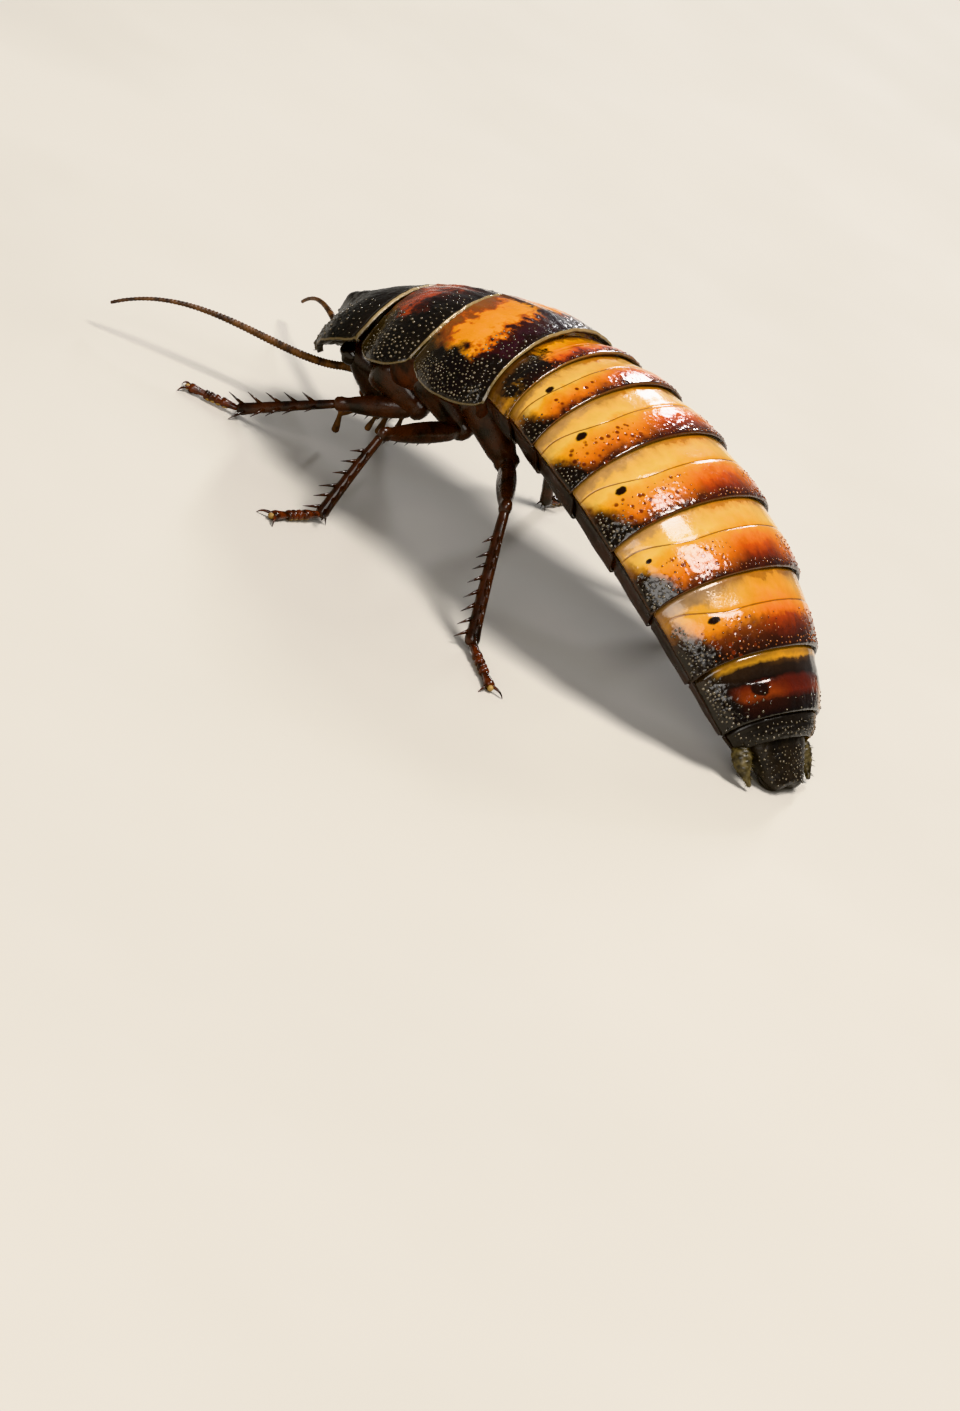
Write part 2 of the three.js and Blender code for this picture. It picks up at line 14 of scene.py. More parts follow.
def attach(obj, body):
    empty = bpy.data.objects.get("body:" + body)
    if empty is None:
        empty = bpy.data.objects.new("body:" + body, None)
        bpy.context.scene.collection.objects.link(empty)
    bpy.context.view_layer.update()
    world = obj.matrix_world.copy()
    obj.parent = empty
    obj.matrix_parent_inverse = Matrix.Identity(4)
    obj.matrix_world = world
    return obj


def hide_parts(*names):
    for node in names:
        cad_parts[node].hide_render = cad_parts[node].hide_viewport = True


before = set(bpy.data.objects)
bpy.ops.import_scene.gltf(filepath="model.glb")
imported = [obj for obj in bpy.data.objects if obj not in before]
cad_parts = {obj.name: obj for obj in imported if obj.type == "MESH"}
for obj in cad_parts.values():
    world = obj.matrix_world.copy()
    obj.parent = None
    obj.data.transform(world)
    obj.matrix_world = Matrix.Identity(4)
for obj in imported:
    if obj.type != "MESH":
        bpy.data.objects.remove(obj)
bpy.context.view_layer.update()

SCENE = bpy.context.scene
MM = 0.001

# Spine and the sizes of the plates, as in the solids

BODY_LENGTH = 75.0
GAP = 0.3
FRONT_EDGE = Vector((24.97, -0.6, 6.1))
PITCH_AT = ((0, 58), (6, 44), (12, 29), (25, 5), (37.5, -12), (50, -22), (62, -35), (75, -46))
TURN_AT = ((0, -9), (12, -2), (22, 3), (50, 3), (75, 0))

PRONOTUM = dict(front=0, hind=12.5, half_width=10.3, height=5.1, drop=0.1, wrap=50, sweep=-0.9)
MESONOTUM = dict(front=12.8, hind=19.3, half_width=11.5, height=5.6, drop=1.0, wrap=60, sweep=-0.9)
METANOTUM = dict(front=19.6, hind=27.3, half_width=12.6, height=6.2, drop=1.0, wrap=76, sweep=0.9)
HORN_HEIGHT = 1.5

# Rings of the abdomen: the first line is the edge that the first ring starts from
RING_KEYS = ("hind", "half_width", "height", "belly", "sweep", "wrap")
RINGS = [dict(zip(RING_KEYS, sizes)) for sizes in (
    (27.3, 11.8, 5.9, 3.9, 0.9, 78),
    (30.6, 12.1, 6.2, 4.0, 0.6, 79),
    (35.1, 12.9, 6.6, 4.3, 0.3, 79),
    (41.3, 13.1, 7.0, 4.5, 0.3, 80),
    (48.2, 13.0, 6.8, 4.5, 0.4, 81),
    (55.0, 12.1, 6.3, 4.2, 0.7, 81),
    (62.0, 9.8, 5.5, 3.6, 0.9, 81),
    (67.7, 7.2, 4.4, 2.7, 0.6, 80),
    (69.8, 5.3, 3.2, 1.9, 0.3, 78),
)]
RING_STEP = 0.5
LAST_PLATE = dict(root=68.9, hind=74.6, half_width=4.3, height=2.8, thickness=1.8)

HEAD_PLACE = dict(s=5.0, height=-2.2)
HEAD_SIZE = Vector((2.5, 3.6, 4.3))
EYE_SIZE = Vector((1.25, 0.95, 1.75))

FOOT_LEVEL = 0.5
FOOT_JOINTS = (0.06, 0.34, 0.47, 0.585, 0.68, 0.985)  # shares of the way from the ankle to the toe
LEGS = (
    dict(name="front", hip=11.6, coxa=5.0, femur=8.2, tibia=6.6, tarsus=5.2, girth=0.95, spines=5,
         ankle=(-0.1, 11.6), toe=(0.86, 0.51), knee=(0.55, 0.45, 0.7)),
    dict(name="middle", hip=17.4, coxa=5.8, femur=10.4, tibia=9.6, tarsus=6.2, girth=1.0, spines=6,
         ankle=(-18.1, 18.2), toe=(0.12, 0.99), knee=(0.2, 0.35, 0.9)),
    dict(name="hind", hip=23.7, coxa=6.6, femur=12.4, tibia=13.6, tarsus=7.4, girth=1.1, spines=8,
         ankle=(-39.6, 18.6), toe=(-0.84, 0.54), knee=(-0.1, 0.35, 0.95)),
)
SIDES = ((1, "left"), (-1, "right"))


# Small helpers

def clamp(x, low=0.0, high=1.0):
    return min(high, max(low, x))


def mix(a, b, t):
    return a + (b - a) * t


def smooth(x):
    x = clamp(x)
    return x * x * (3 - 2 * x)


def along_table(table, x):
    """Value of a table of (place, value) pairs at x."""
    if x <= table[0][0]:
        return table[0][1]
    for (x0, y0), (x1, y1) in zip(table, table[1:]):
        if x <= x1:
            return mix(y0, y1, (x - x0) / (x1 - x0))
    return table[-1][1]


def rounding(x):
    """Rises from 0 to 1 as a sine does: fast at first, level at the end."""
    return sin(clamp(x) * pi / 2)


def bump(x, middle, width):
    return exp(-((x - middle) / width) ** 2)


def swept_back(across):
    return abs(across) ** 3.5


# Spine

def directions_at(s):
    turn = radians(along_table(TURN_AT, s))
    pitch = radians(along_table(PITCH_AT, s))
    turned = Matrix.Rotation(turn, 3, "Z") @ Matrix.Rotation(pitch, 3, "Y")
    return turned.col[0].copy(), turned.col[1].copy(), turned.col[2].copy()


SPINE_STEP = 0.25
SPINE = [FRONT_EDGE.copy()]
for i in range(int((BODY_LENGTH + 1) / SPINE_STEP)):
    SPINE.append(SPINE[-1] - directions_at((i + 0.5) * SPINE_STEP)[0] * SPINE_STEP)
FRAMES = [directions_at(i * SPINE_STEP) for i in range(len(SPINE))]


def body_point(s, left, up):
    at = clamp(s / SPINE_STEP, 0, len(SPINE) - 1.001)
    low = int(at)
    part = at - low
    place = SPINE[low].lerp(SPINE[low + 1], part)
    if s < 0:
        place = place - FRAMES[0][0] * s
    side = FRAMES[low][1].lerp(FRAMES[low + 1][1], part)
    rise = FRAMES[low][2].lerp(FRAMES[low + 1][2], part)
    return place + side * left + rise * up


def body_direction(s, forward, left, up):
    ahead, side, rise = directions_at(s)
    return ahead * forward + side * left + rise * up


INSIDE = body_point(38, 0, -12)  # a place below the back, from which the granules face away


def arch_at(across, wrap):
    """Share of the half width and of the height at a place across an arched plate."""
    end = radians(wrap)
    over = (cos(across * end) - cos(end)) / (1 - cos(end))
    return sin(across * end) / sin(end), over


# Materials

def linear(colour):
    """A scene-linear colour from an sRGB hex value."""
    parts = [int(colour[i:i + 2], 16) / 255 for i in (1, 3, 5)]
    return (*[p / 12.92 if p <= 0.04045 else ((p + 0.055) / 1.055) ** 2.4 for p in parts], 1)


def add_node(tree, kind, inputs=(), output=0, stops=(), **settings):
    """Adds a node, makes its settings, sets or links its inputs, and gives one of its outputs."""
    made = tree.nodes.new("ShaderNode" + kind)
    for name, value in settings.items():
        setattr(made, name, value)
    for socket, value in dict(inputs).items():
        if isinstance(value, bpy.types.NodeSocket):
            tree.links.new(value, made.inputs[socket])
        else:
            made.inputs[socket].default_value = value
    for _ in stops[2:]:
        made.color_ramp.elements.new(0.5)
    for i, (position, colour) in enumerate(stops):
        made.color_ramp.elements[i].position = position
        made.color_ramp.elements[i].color = linear(colour)
    return made.outputs[output]


def stops_of(text):
    """Colour stops from text such as "0 #b8762c, 42 #f09c18": percent along the plate, then the colour."""
    return [(int(stop.split()[0]) / 100, stop.split()[1]) for stop in text.split(", ")]


def new_finish(name, roughness, ior=1.55, **sockets):
    """An empty material: gives its node tree, its shader and itself."""
    material = bpy.data.materials.new(name)
    material.use_nodes = True
    shader = material.node_tree.nodes["Principled BSDF"]
    for socket, value in dict(Roughness=roughness, IOR=ior, **sockets).items():
        shader.inputs[socket.replace("_", " ")].default_value = value
    return material.node_tree, shader, material


def wire(tree, shader, **outputs):
    """Links outputs to the shader's sockets."""
    for socket, output in outputs.items():
        tree.links.new(output, shader.inputs[socket.replace("_", " ")])


MARKS = ("along", "across", "side", "corner", "edge", "seam", "spot")
FAR = 9.0  # mark of a plate that has no seam or no spot

# Patterns on the plates: size in millimetres, detail and roughness. The edges between the colours waver and
# fray, and the horn is clouded over a fine grain. Pits stand where hairs once stood, 0.8 mm apart
NOISES = dict(waver=(2.6, 1.0, 0.5), fray=(0.8, 3.0, 0.6), cloud=(1.2, 4.0, 0.6), grain=(0.3, 2.0, 0.5))
PITS_APART, PEBBLES_APART = 0.8, 0.52
SEAM_BROWN, SPOT_BLACK, PIT_RUST = "#6a3208", "#190a05", "#6e2608"


def plate_finish(name, middle, flank, corner, flank_from=(0.1, 0.34), rim=None, pits=0.0, ragged=0.06,
                 pebbles=0.5, gloss=(0.12, 0.24), coat=0.45, haze=(), stain=()):
    """Horny plate. Each set of colours runs from the plate's front edge (0) to its hind edge (1):
    down the middle of the back, on the flanks, and in the pebbled corners at the sides."""
    tree, shader, material = new_finish(name, 0.28, Coat_Weight=coat, Coat_Roughness=0.07)
    place = add_node(tree, "TexCoord", output="Object")
    mark = {word: add_node(tree, "Attribute", output="Fac", attribute_name=word) for word in MARKS}

    noises = {word: add_node(tree, "TexNoise", {"Vector": place, "Scale": 1 / (size * MM), "Detail": detail,
                                                "Roughness": rough})
              for word, (size, detail, rough) in NOISES.items()}

    # The place on the plate that the colours read, which wavers round the true one
    both = add_node(tree, "Math", {0: noises["waver"], 1: noises["fray"]}, operation="ADD")
    wobble = add_node(tree, "MapRange", {0: both, 1: 0.7, 2: 1.3, 3: -ragged, 4: ragged}, clamp=False)
    u = add_node(tree, "Math", {0: mark["along"], 1: wobble}, operation="ADD")
    v = add_node(tree, "Math", {0: wobble, 1: 0.6, 2: mark["side"]}, operation="MULTIPLY_ADD")
    toward_corner = add_node(tree, "Math", {0: wobble, 1: 0.5, 2: mark["corner"]}, operation="MULTIPLY_ADD")

    # Masks: each runs from 0 to its share as its source runs from the first value to the second.
    # A fifth value is where the mask starts in place of 0
    from_seam = add_node(tree, "Math", {0: mark["seam"]}, operation="ABSOLUTE")
    from_spot = add_node(tree, "Math", {0: noises["fray"], 1: 0.9, 2: mark["spot"]}, operation="MULTIPLY_ADD")
    pits_at = {"Vector": place, "Scale": 1 / (PITS_APART * MM)}
    pebbles_at = {"Vector": place, "Scale": 1 / (PEBBLES_APART * MM)}
    masks = dict(
        flank=(v, *flank_from, 1.0), corner=(toward_corner, -0.1, 0.05, 1.0),
        seam=(from_seam, 0.14, 0.02, 0.8), spot=(from_spot, 1.46, 1.1, 1.0),
        pit=(add_node(tree, "TexVoronoi", pits_at), 0.38, 0.2, 1.0), pit_rows=(u, 0.44, 0.54, 1.0),
        pit_flank=(v, 0.22, 0.36, 1.0), hind=(u, 0.4, 0.62, pebbles),
        pebble=(add_node(tree, "TexVoronoi", pebbles_at, feature="SMOOTH_F1"), 0.6, 0.1, 1.0))
    if haze:
        # The front of the plate greys at the sides, where it lies thin over the joint skin; on the sixth ring
        # this grey front is also a painted highlight
        masks.update(haze=(u, haze[0], haze[0] * 0.4, 1.0), haze_side=(v, 0.3, 0.62, haze[1]))
    if stain:
        # One flank is paler than the other
        masks.update(stain=(mark["across"], stain[0], stain[0] - 0.14, 1.0),
                     stain_hind=(u, stain[1], stain[1] + 0.15, 1.0))
    if rim:
        # A pale band along the free edge, worn off at the sides, and not on the wall of the edge
        masks.update(band=(mark["edge"], rim[0], rim[0] * 0.7, 1.0), off_wall=(mark["edge"], 0.0, 0.05, 1.0),
                     unworn=(mark["side"], 0.92, 0.7, 1.0, 0.4))
    mask = {word: add_node(tree, "MapRange", dict(zip((0, 1, 2, 4, 3), row)), interpolation_type="SMOOTHSTEP")
            for word, row in masks.items()}
    pit = mask["pit"]
    for zone in ("pit_rows", "pit_flank"):
        pit = add_node(tree, "Math", {0: pit, 1: mask[zone]}, operation="MULTIPLY")

    # Layers of colour over the middle one, each with the two masks that it is shown through
    layers = [(mask["flank"], 1.0, add_node(tree, "ValToRGB", {0: u}, stops=stops_of(flank)))]
    if haze:
        layers += [(mask["haze"], mask["haze_side"], linear(haze[2]))]
    layers += [(pit, pits, linear(PIT_RUST))]
    if stain:
        layers += [(mask["stain"], mask["stain_hind"], linear(stain[2]))]
    layers += [(mask["seam"], 1.0, linear(SEAM_BROWN)), (mask["spot"], 1.0, linear(SPOT_BLACK)),
               (mask["corner"], 1.0, add_node(tree, "ValToRGB", {0: u}, stops=stops_of(corner)))]
    if rim:
        band = add_node(tree, "Math", {0: mask["band"], 1: mask["unworn"]}, operation="MULTIPLY")
        layers += [(band, mask["off_wall"], linear(rim[1]))]
    colour = add_node(tree, "ValToRGB", {0: u}, stops=stops_of(middle))
    for first, second, layer in layers:
        share = add_node(tree, "Math", {0: first, 1: second}, operation="MULTIPLY")
        colour = add_node(tree, "Mix", {0: share, 6: colour, 7: layer}, 2, data_type="RGBA")
    shade = add_node(tree, "MapRange", {0: noises["cloud"], 1: 0.3, 2: 0.7, 3: 0.84, 4: 1.12})

    # Smooth and waxy in front of the seam, pebbled behind it and at the corners
    pebbled = add_node(tree, "Math", {0: mask["hind"], 1: mask["corner"]}, operation="MAXIMUM")
    relief = add_node(tree, "Math", {0: mask["pebble"], 1: pebbled}, operation="MULTIPLY")
    for form, height in ((noises["grain"], 0.3), (pit, -0.6), (mask["seam"], -0.5)):
        relief = add_node(tree, "Math", {0: form, 1: height, 2: relief}, operation="MULTIPLY_ADD")
    wear = {0: noises["grain"], 1: 0.3, 2: 0.7, 3: gloss[0], 4: gloss[1]}
    wire(tree, shader,
         Base_Color=add_node(tree, "HueSaturation", {"Value": shade, "Color": colour}),
         Normal=add_node(tree, "Bump", {"Strength": 0.55, "Distance": 0.1 * MM, "Height": relief}),
         Roughness=add_node(tree, "MapRange", wear))
    return material


def horn_finish(name, dark, light, blotch_mm=1.6, gloss=(0.22, 0.4), relief_mm=0.06, ior=1.55, **sockets):
    """Plain horn or skin, blotched from a dark to a light colour, with a relief a third as wide as its
    blotches."""
    tree, shader, material = new_finish(name, 0.3, ior, **sockets)
    place = add_node(tree, "TexCoord", output="Object")
    blotch = add_node(tree, "TexNoise", {"Vector": place, "Scale": 1 / (blotch_mm * MM), "Detail": 3.0})
    fine = add_node(tree, "TexNoise", {"Vector": place, "Scale": 3 / (blotch_mm * MM), "Detail": 3.0})
    wire(tree, shader,
         Base_Color=add_node(tree, "ValToRGB", {0: blotch}, stops=((0.36, dark), (0.64, light))),
         Roughness=add_node(tree, "MapRange", {0: fine, 1: 0.3, 2: 0.7, 3: gloss[0], 4: gloss[1]}),
         Normal=add_node(tree, "Bump", {"Strength": 0.7, "Distance": relief_mm * MM, "Height": fine}))
    return material


# The ring plates' colour stops that start darker over their first few percent paint a shadow line along the
# front edge, under the hind edge of the plate before
AMBER_MIDDLE = ("0 #b8762c, 3 #d89a48, 12 #edb75a, 32 #f0ac3c, 42 #f09c18, "
                "54 #e87a10, 66 #bc4a08, 80 #802806, 91 #421406, 100 #260b05")
AMBER_FLANK = ("0 #a87838, 3 #c89448, 14 #e4b058, 30 #f2c260, 42 #f2a828, "
               "58 #ea9014, 74 #d06c0e, 86 #9a480e, 93 #4c1e0a, 100 #24100a")
AMBER_CORNER = "0 #8c6238, 22 #a87434, 36 #7a4a1c, 48 #2c1a10, 62 #17110d, 90 #120e0b, 100 #1c130d"

# Horny plate of the pronotum: near black with a cold cast, thick, knobbly in front, its wax worn dull
PRONOTUM_HORN = plate_finish(
    "black_horn_pronotum",
    "0 #2b2721, 25 #181512, 70 #100f0e, 100 #17120e",
    "0 #2c2822, 25 #171512, 70 #0f0f0e, 100 #17120e",
    "0 #2b2721, 50 #141211, 100 #1a1510",
    rim=(0.3, "#9a855f"), gloss=(0.34, 0.5), coat=0.05, pebbles=0.4)

# Horny plate of the mesonotum: black pebbled lobes, a rusty flare along the front, plum brown behind
MESONOTUM_HORN = plate_finish(
    "rust_flared_horn_mesonotum",
    "0 #8a4e22, 15 #a04a16, 34 #b04a12, 50 #7a2e10, 64 #3a1a12, 82 #241412, 100 #1a100e",
    "0 #5c2c16, 10 #8c3a12, 22 #b8440e, 34 #a0380c, 44 #4a1a0e, 60 #1e1110, 100 #150f0e",
    "0 #3a3022, 30 #1c1712, 60 #100e0d, 100 #171310",
    (0.06, 0.26), rim=(0.28, "#9a845c"), ragged=0.2, gloss=(0.2, 0.34))

# Horny plate of the metanotum: a torn orange flame on each side, a plum band behind, black pebbled lobes
METANOTUM_HORN = plate_finish(
    "flame_patched_horn_metanotum",
    "0 #6a3c18, 12 #4a2a1c, 50 #2a1c20, 85 #24161a, 100 #1e1210",
    "0 #8a4e1c, 8 #8a420e, 15 #c45c0a, 22 #fb9a08, 50 #ffa20c, "
    "60 #b85406, 66 #34150f, 80 #301a20, 93 #20120f, 100 #1e1210",
    "0 #3a2f20, 15 #1a1611, 50 #0f0d0c, 100 #14100d",
    (0.01, 0.09), rim=(0.26, "#947e56"), ragged=0.14, gloss=(0.16, 0.28))

# First plate of the abdomen: black on the sides, warm orange in the middle, brown and thin at the corners;
# its middle stops start darker, a painted shadow line under the edge of the metanotum
FIRST_RING_HORN = plate_finish(
    "orange_and_black_horn_ring_one",
    "0 #b4701c, 8 #f4a41c, 45 #f68a10, 66 #d0540c, 82 #7a260a, 100 #2e0f08",
    "0 #4c3018, 12 #1c1510, 60 #120f0d, 90 #1c110e, 100 #2a120a",
    "0 #6a4a28, 40 #8c5e26, 70 #b07a28, 100 #3a200e",
    (0.34, 0.46), rim=(0.16, "#8a6236"), ragged=0.2)

# Second plate: as the amber plates, but black runs further up its corners
SECOND_RING_HORN = plate_finish(
    "amber_horn_ring_two", AMBER_MIDDLE, AMBER_FLANK, AMBER_CORNER,
    rim=(0.16, "#6a4426"), pits=1.0, ragged=0.09, haze=(0.1, 0.5, "#a07c4c"))

# Amber plates: a smooth pale front band with a fine seam, then pitted and pebbled amber to mahogany
AMBER_HORN = plate_finish(
    "amber_horn_mid_rings", AMBER_MIDDLE, AMBER_FLANK, AMBER_CORNER,
    rim=(0.14, "#5a3418"), pits=0.95, haze=(0.14, 0.6, "#a8845a"))

# Sixth plate: deeper amber in front, its hind half mahogany to black; the grey-brown band at the sides of its
# front is a painted highlight
# Its first stops start darker: a painted shadow line under the fifth ring's hind edge
SIXTH_RING_HORN = plate_finish(
    "mahogany_horn_ring_six",
    "0 #a86a20, 4 #d08c30, 18 #ee9c24, 36 #f08e12, 52 #e6740c, "
    "62 #9a360a, 78 #581c0a, 90 #2a110b, 100 #1c0d08",
    "0 #94683a, 8 #b88844, 26 #dea03c, 42 #ea961c, 56 #c06c14, 68 #6e3210, 82 #401c0e, 100 #1c0f0a",
    AMBER_CORNER, rim=(0.14, "#3a200e"), pits=0.8, haze=(0.24, 0.7, "#8a7258"))

# Seventh plate: gilt front edge, smoky band, a dull red saddle with a black eye spot on each side; the gilt
# edge starts darker, a painted shadow line under the plate before
SEVENTH_RING_HORN = plate_finish(
    "red_saddled_black_horn_ring_seven",
    "0 #a87424, 8 #cc8e2a, 13 #4a3018, 20 #241a14, 36 #1c1411, "
    "45 #48150c, 64 #561a0e, 76 #1c100d, 100 #0e0b0a",
    "0 #8a6020, 6 #b07e28, 12 #2c2018, 36 #17110f, 46 #541c0c, 62 #7c3210, 74 #2a120c, 100 #0d0a0a",
    "0 #2c2218, 20 #17120f, 100 #0d0b0a",
    rim=(0.12, "#120d0a"), ragged=0.035, stain=(-0.3, 0.42, "#9c6a24"))

# Last plates: black horn, dull and granular, paler on the right flank
TAIL_HORN = plate_finish(
    "black_horn_tail", "0 #15110e, 100 #0e0c0b", "0 #14110f, 100 #0f0d0c",
    "0 #1a1612, 100 #15120f", gloss=(0.32, 0.46), coat=0.12, pebbles=1.0,
    stain=(-0.34, -1.0, "#7a541e"))

# Tongue behind the last ring: black horn, coarse and dull
LAST_PLATE_HORN = horn_finish("black_horn_last_plate", "#0d0b0a", "#221c16", 1.5, (0.34, 0.5), 0.12)
# Granules of the black parts: glassy horn, greyer than the plate; the grey is partly the granules' paler horn
# and partly a painted sheen standing in for the silver glints they catch
GRANULE_LOOK = dict(blotch_mm=1.0, gloss=(0.12, 0.24), relief_mm=0.01, Coat_Weight=0.4)
GRANULE_HORN = horn_finish("grey_horn_granules_with_painted_sheen", "#3a342b", "#7a7060", **GRANULE_LOOK)
# Granules of the amber parts: glassy grains of mahogany horn
AMBER_GRANULE_HORN = horn_finish("mahogany_horn_granules", "#5a240e", "#a8602a", **GRANULE_LOOK)
# Joint skin between the plates: thin and leathery, brown
JOINT_SKIN = horn_finish("brown_joint_skin", "#1c0d08", "#4e2410", 1.4, (0.36, 0.55), 0.12, 1.45)
# Belly plates: smooth dark chestnut horn
BELLY_HORN = horn_finish("chestnut_belly_horn", "#130a07", "#34180c", 3.2, (0.26, 0.4), 0.04)
# Leg horn: glossy dark chestnut, nearly black
LEG_HORN = horn_finish("dark_chestnut_leg_horn", "#120b08", "#3c1e10", 1.8, (0.22, 0.36), 0.04,
                       Coat_Weight=0.15)
# Foot horn, spines and claws: hard red-brown horn
SPINE_HORN = horn_finish("red_brown_spine_horn", "#20100a", "#5a2610", 0.8, (0.2, 0.32), 0.02)
# Foot pads: pale matt skin
PAD_SKIN = horn_finish("pale_pad_skin", "#8a6a3c", "#b8985f", 0.6, (0.5, 0.65), 0.05, 1.45)
# Feeler horn: brown, matt from fine down
FEELER_HORN = horn_finish("brown_feeler_horn", "#2c1a0e", "#6a4626", 0.9, (0.42, 0.58), 0.04)
# Head horn: glossy near-black, reddish where it thins
HEAD_HORN = horn_finish("glossy_head_horn", "#120b08", "#301509", 2.4, (0.2, 0.34), 0.05, Coat_Weight=0.2)
# Lip and face plate above it: brown horn, thinner and lighter than the head
LIP_HORN = horn_finish("brown_lip_horn", "#2c150b", "#6a3a18", 0.9, (0.28, 0.42), 0.04)
# Cerci: dull olive-grey rings
CERCUS_HORN = horn_finish("olive_cercus_horn", "#2a251a", "#6e6244", 0.6, (0.3, 0.45), 0.06)


def eye_finish():
    """Compound eye: thousands of lenses, black with a faint brown depth; facets drawn 0.12 mm across."""
    tree, shader, material = new_finish("black_faceted_eye", 0.14, 1.5, Coat_Weight=0.6, Coat_Roughness=0.05)
    place = add_node(tree, "TexCoord", output="Object")
    facets = add_node(tree, "TexVoronoi", {"Vector": place, "Scale": 1 / (0.12 * MM)})
    depth = {"Strength": 0.5, "Distance": 0.02 * MM, "Height": facets}
    wire(tree, shader,
         Base_Color=add_node(tree, "ValToRGB", {0: facets}, stops=((0.2, "#1a100a"), (0.7, "#050403"))),
         Normal=add_node(tree, "Bump", depth, invert=True))
    return material


EYE_GLOSS = eye_finish()


# Making pieces

def finish_piece(name, bm, material, nodes=(), closed=True):
    """Turns a bmesh in millimetres into a finished piece that stands for some CAD nodes."""
    bmesh.ops.remove_doubles(bm, verts=bm.verts, dist=1e-4)
    if closed:
        bmesh.ops.recalc_face_normals(bm, faces=bm.faces)
    bmesh.ops.scale(bm, vec=(MM, MM, MM), verts=bm.verts)
    mesh = bpy.data.meshes.new(name)
    bm.to_mesh(mesh)
    bm.free()
    mesh.shade_smooth()
    piece = bpy.data.objects.new(name, mesh)
    SCENE.collection.objects.link(piece)
    mesh.materials.append(material)
    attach(piece, "root")
    if nodes:
        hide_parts(*nodes)
    return piece


def curved_sheet(place, lengthwise, across, front=0.0, corner=None, seam=None, spot=None):
    """A grid bent by place(u, v). It keeps what the finishes read: along (u), across (v), side (|v|),
    corner (above 0 in the pebbled corner), the millimetres to the free edge and to the seam line, and
    the distance from the eye spot, which is half as long again sideways, over its size."""
    bm = bmesh.new()
    bmesh.ops.create_grid(bm, x_segments=lengthwise, y_segments=across, size=1)
    layers = {name: bm.verts.layers.float.new(name) for name in MARKS}
    extent = max(vert.co.x for vert in bm.verts)
    length = (place(1, 0) - place(0, 0)).length
    girth = (place(0.6, 1) - place(0.6, 0.9)).length / 0.1
    quarter, crowding = pi / 2, 0.92
    for vert in bm.verts:
        # The rows crowd together toward the edges, where the plate rolls over
        u = mix(front, 1, 0.5 + 0.5 * sin(vert.co.x / extent * quarter))
        v = sin(vert.co.y / extent * quarter * crowding) / sin(quarter * crowding)
        side = abs(v)
        vert.co = place(u, v)
        marks = dict(along=u, across=v, side=side, corner=-1, seam=FAR, spot=FAR)
        marks["edge"] = min((1 - u) * length, (1 - side) * girth * 3)
        if corner:
            marks["corner"] = corner(u, side)
        if seam:
            marks["seam"] = (u - seam(side)) * length
        if spot:
            lengthways, sideways = (u - spot[0]) * length / 0.75, (side - spot[1]) * girth / 1.25
            marks["spot"] = hypot(lengthways, sideways) / spot[2]
        for name, value in marks.items():
            vert[layers[name]] = value
    return bm


def plate_piece(name, place, counts, material, slot, nodes, thickness, front=0.0, outward=None, **marks):
    """A horny plate: a bent sheet with a thickness on its inner side."""
    bm = curved_sheet(place, *counts, front, **marks)
    bm.normal_update()
    outward = outward or Vector((0, 0, 1))
    if sum((face.normal.dot(outward) for face in bm.faces), 0.0) < 0:
        bmesh.ops.reverse_faces(bm, faces=bm.faces)
    piece = finish_piece(name, bm, material, nodes, closed=False)
    wall = piece.modifiers.new("wall", "SOLIDIFY")
    wall.thickness = thickness * MM
    wall.offset = -1
    return piece


def closed_form(bm, place, around=24, rows=18):
    """A sphere reshaped by place(t, angle): t runs 0 to 1 from end to end, angle goes round."""
    made = bmesh.ops.create_uvsphere(bm, u_segments=around, v_segments=rows, radius=1)
    for vert in made["verts"]:
        t = acos(clamp(vert.co.z, -1, 1)) / pi
        angle = atan2(vert.co.y, vert.co.x)
        vert.co = place(t, angle)


def form_piece(name, place, counts, material, nodes=()):
    bm = bmesh.new()
    closed_form(bm, place, *counts)
    finish_piece(name, bm, material, nodes)


def bezier(points, t):
    while len(points) > 1:
        points = [a.lerp(b, t) for a, b in zip(points, points[1:])]
    return points[0]


def limb(bm, path, girth, around, rows, wide=1.0, upright=Vector((0, 0, 1))):
    """A closed tube with round ends along bezier points, girth(t) thick from the middle."""
    cap = 0.12

    def place(t, angle):
        inner = clamp((t - cap) / (1 - 2 * cap))
        past = clamp(1 - min(t, 1 - t) / cap) * pi / 2
        radius = girth(inner) * cos(past)
        push = girth(inner) * 0.7 * sin(past) * (1 if t > 0.5 else -1)
        ahead = (bezier(path, min(1, inner + 0.01)) - bezier(path, max(0, inner - 0.01))).normalized()
        side = upright.cross(ahead).normalized()
        rise = ahead.cross(side)
        around_it = side * (cos(angle) * radius * wide) + rise * (sin(angle) * radius)
        return bezier(path, inner) + ahead * push + around_it
    closed_form(bm, place, around, rows)


def spike(bm, root, direction, length, radius, sides=8):
    """A tapering spine with its root sunk a little."""
    direction = direction.normalized()
    turn = direction.to_track_quat("Z", "Y").to_matrix().to_4x4()
    stand = Matrix.Translation(root + direction * length * 0.45) @ turn
    bmesh.ops.create_cone(bm, cap_ends=True, segments=sides, radius1=radius, radius2=radius * 0.08,
                          depth=length, matrix=stand)


def keep_above(bm, level):
    for vert in bm.verts:
        vert.co.z = max(vert.co.z, level)


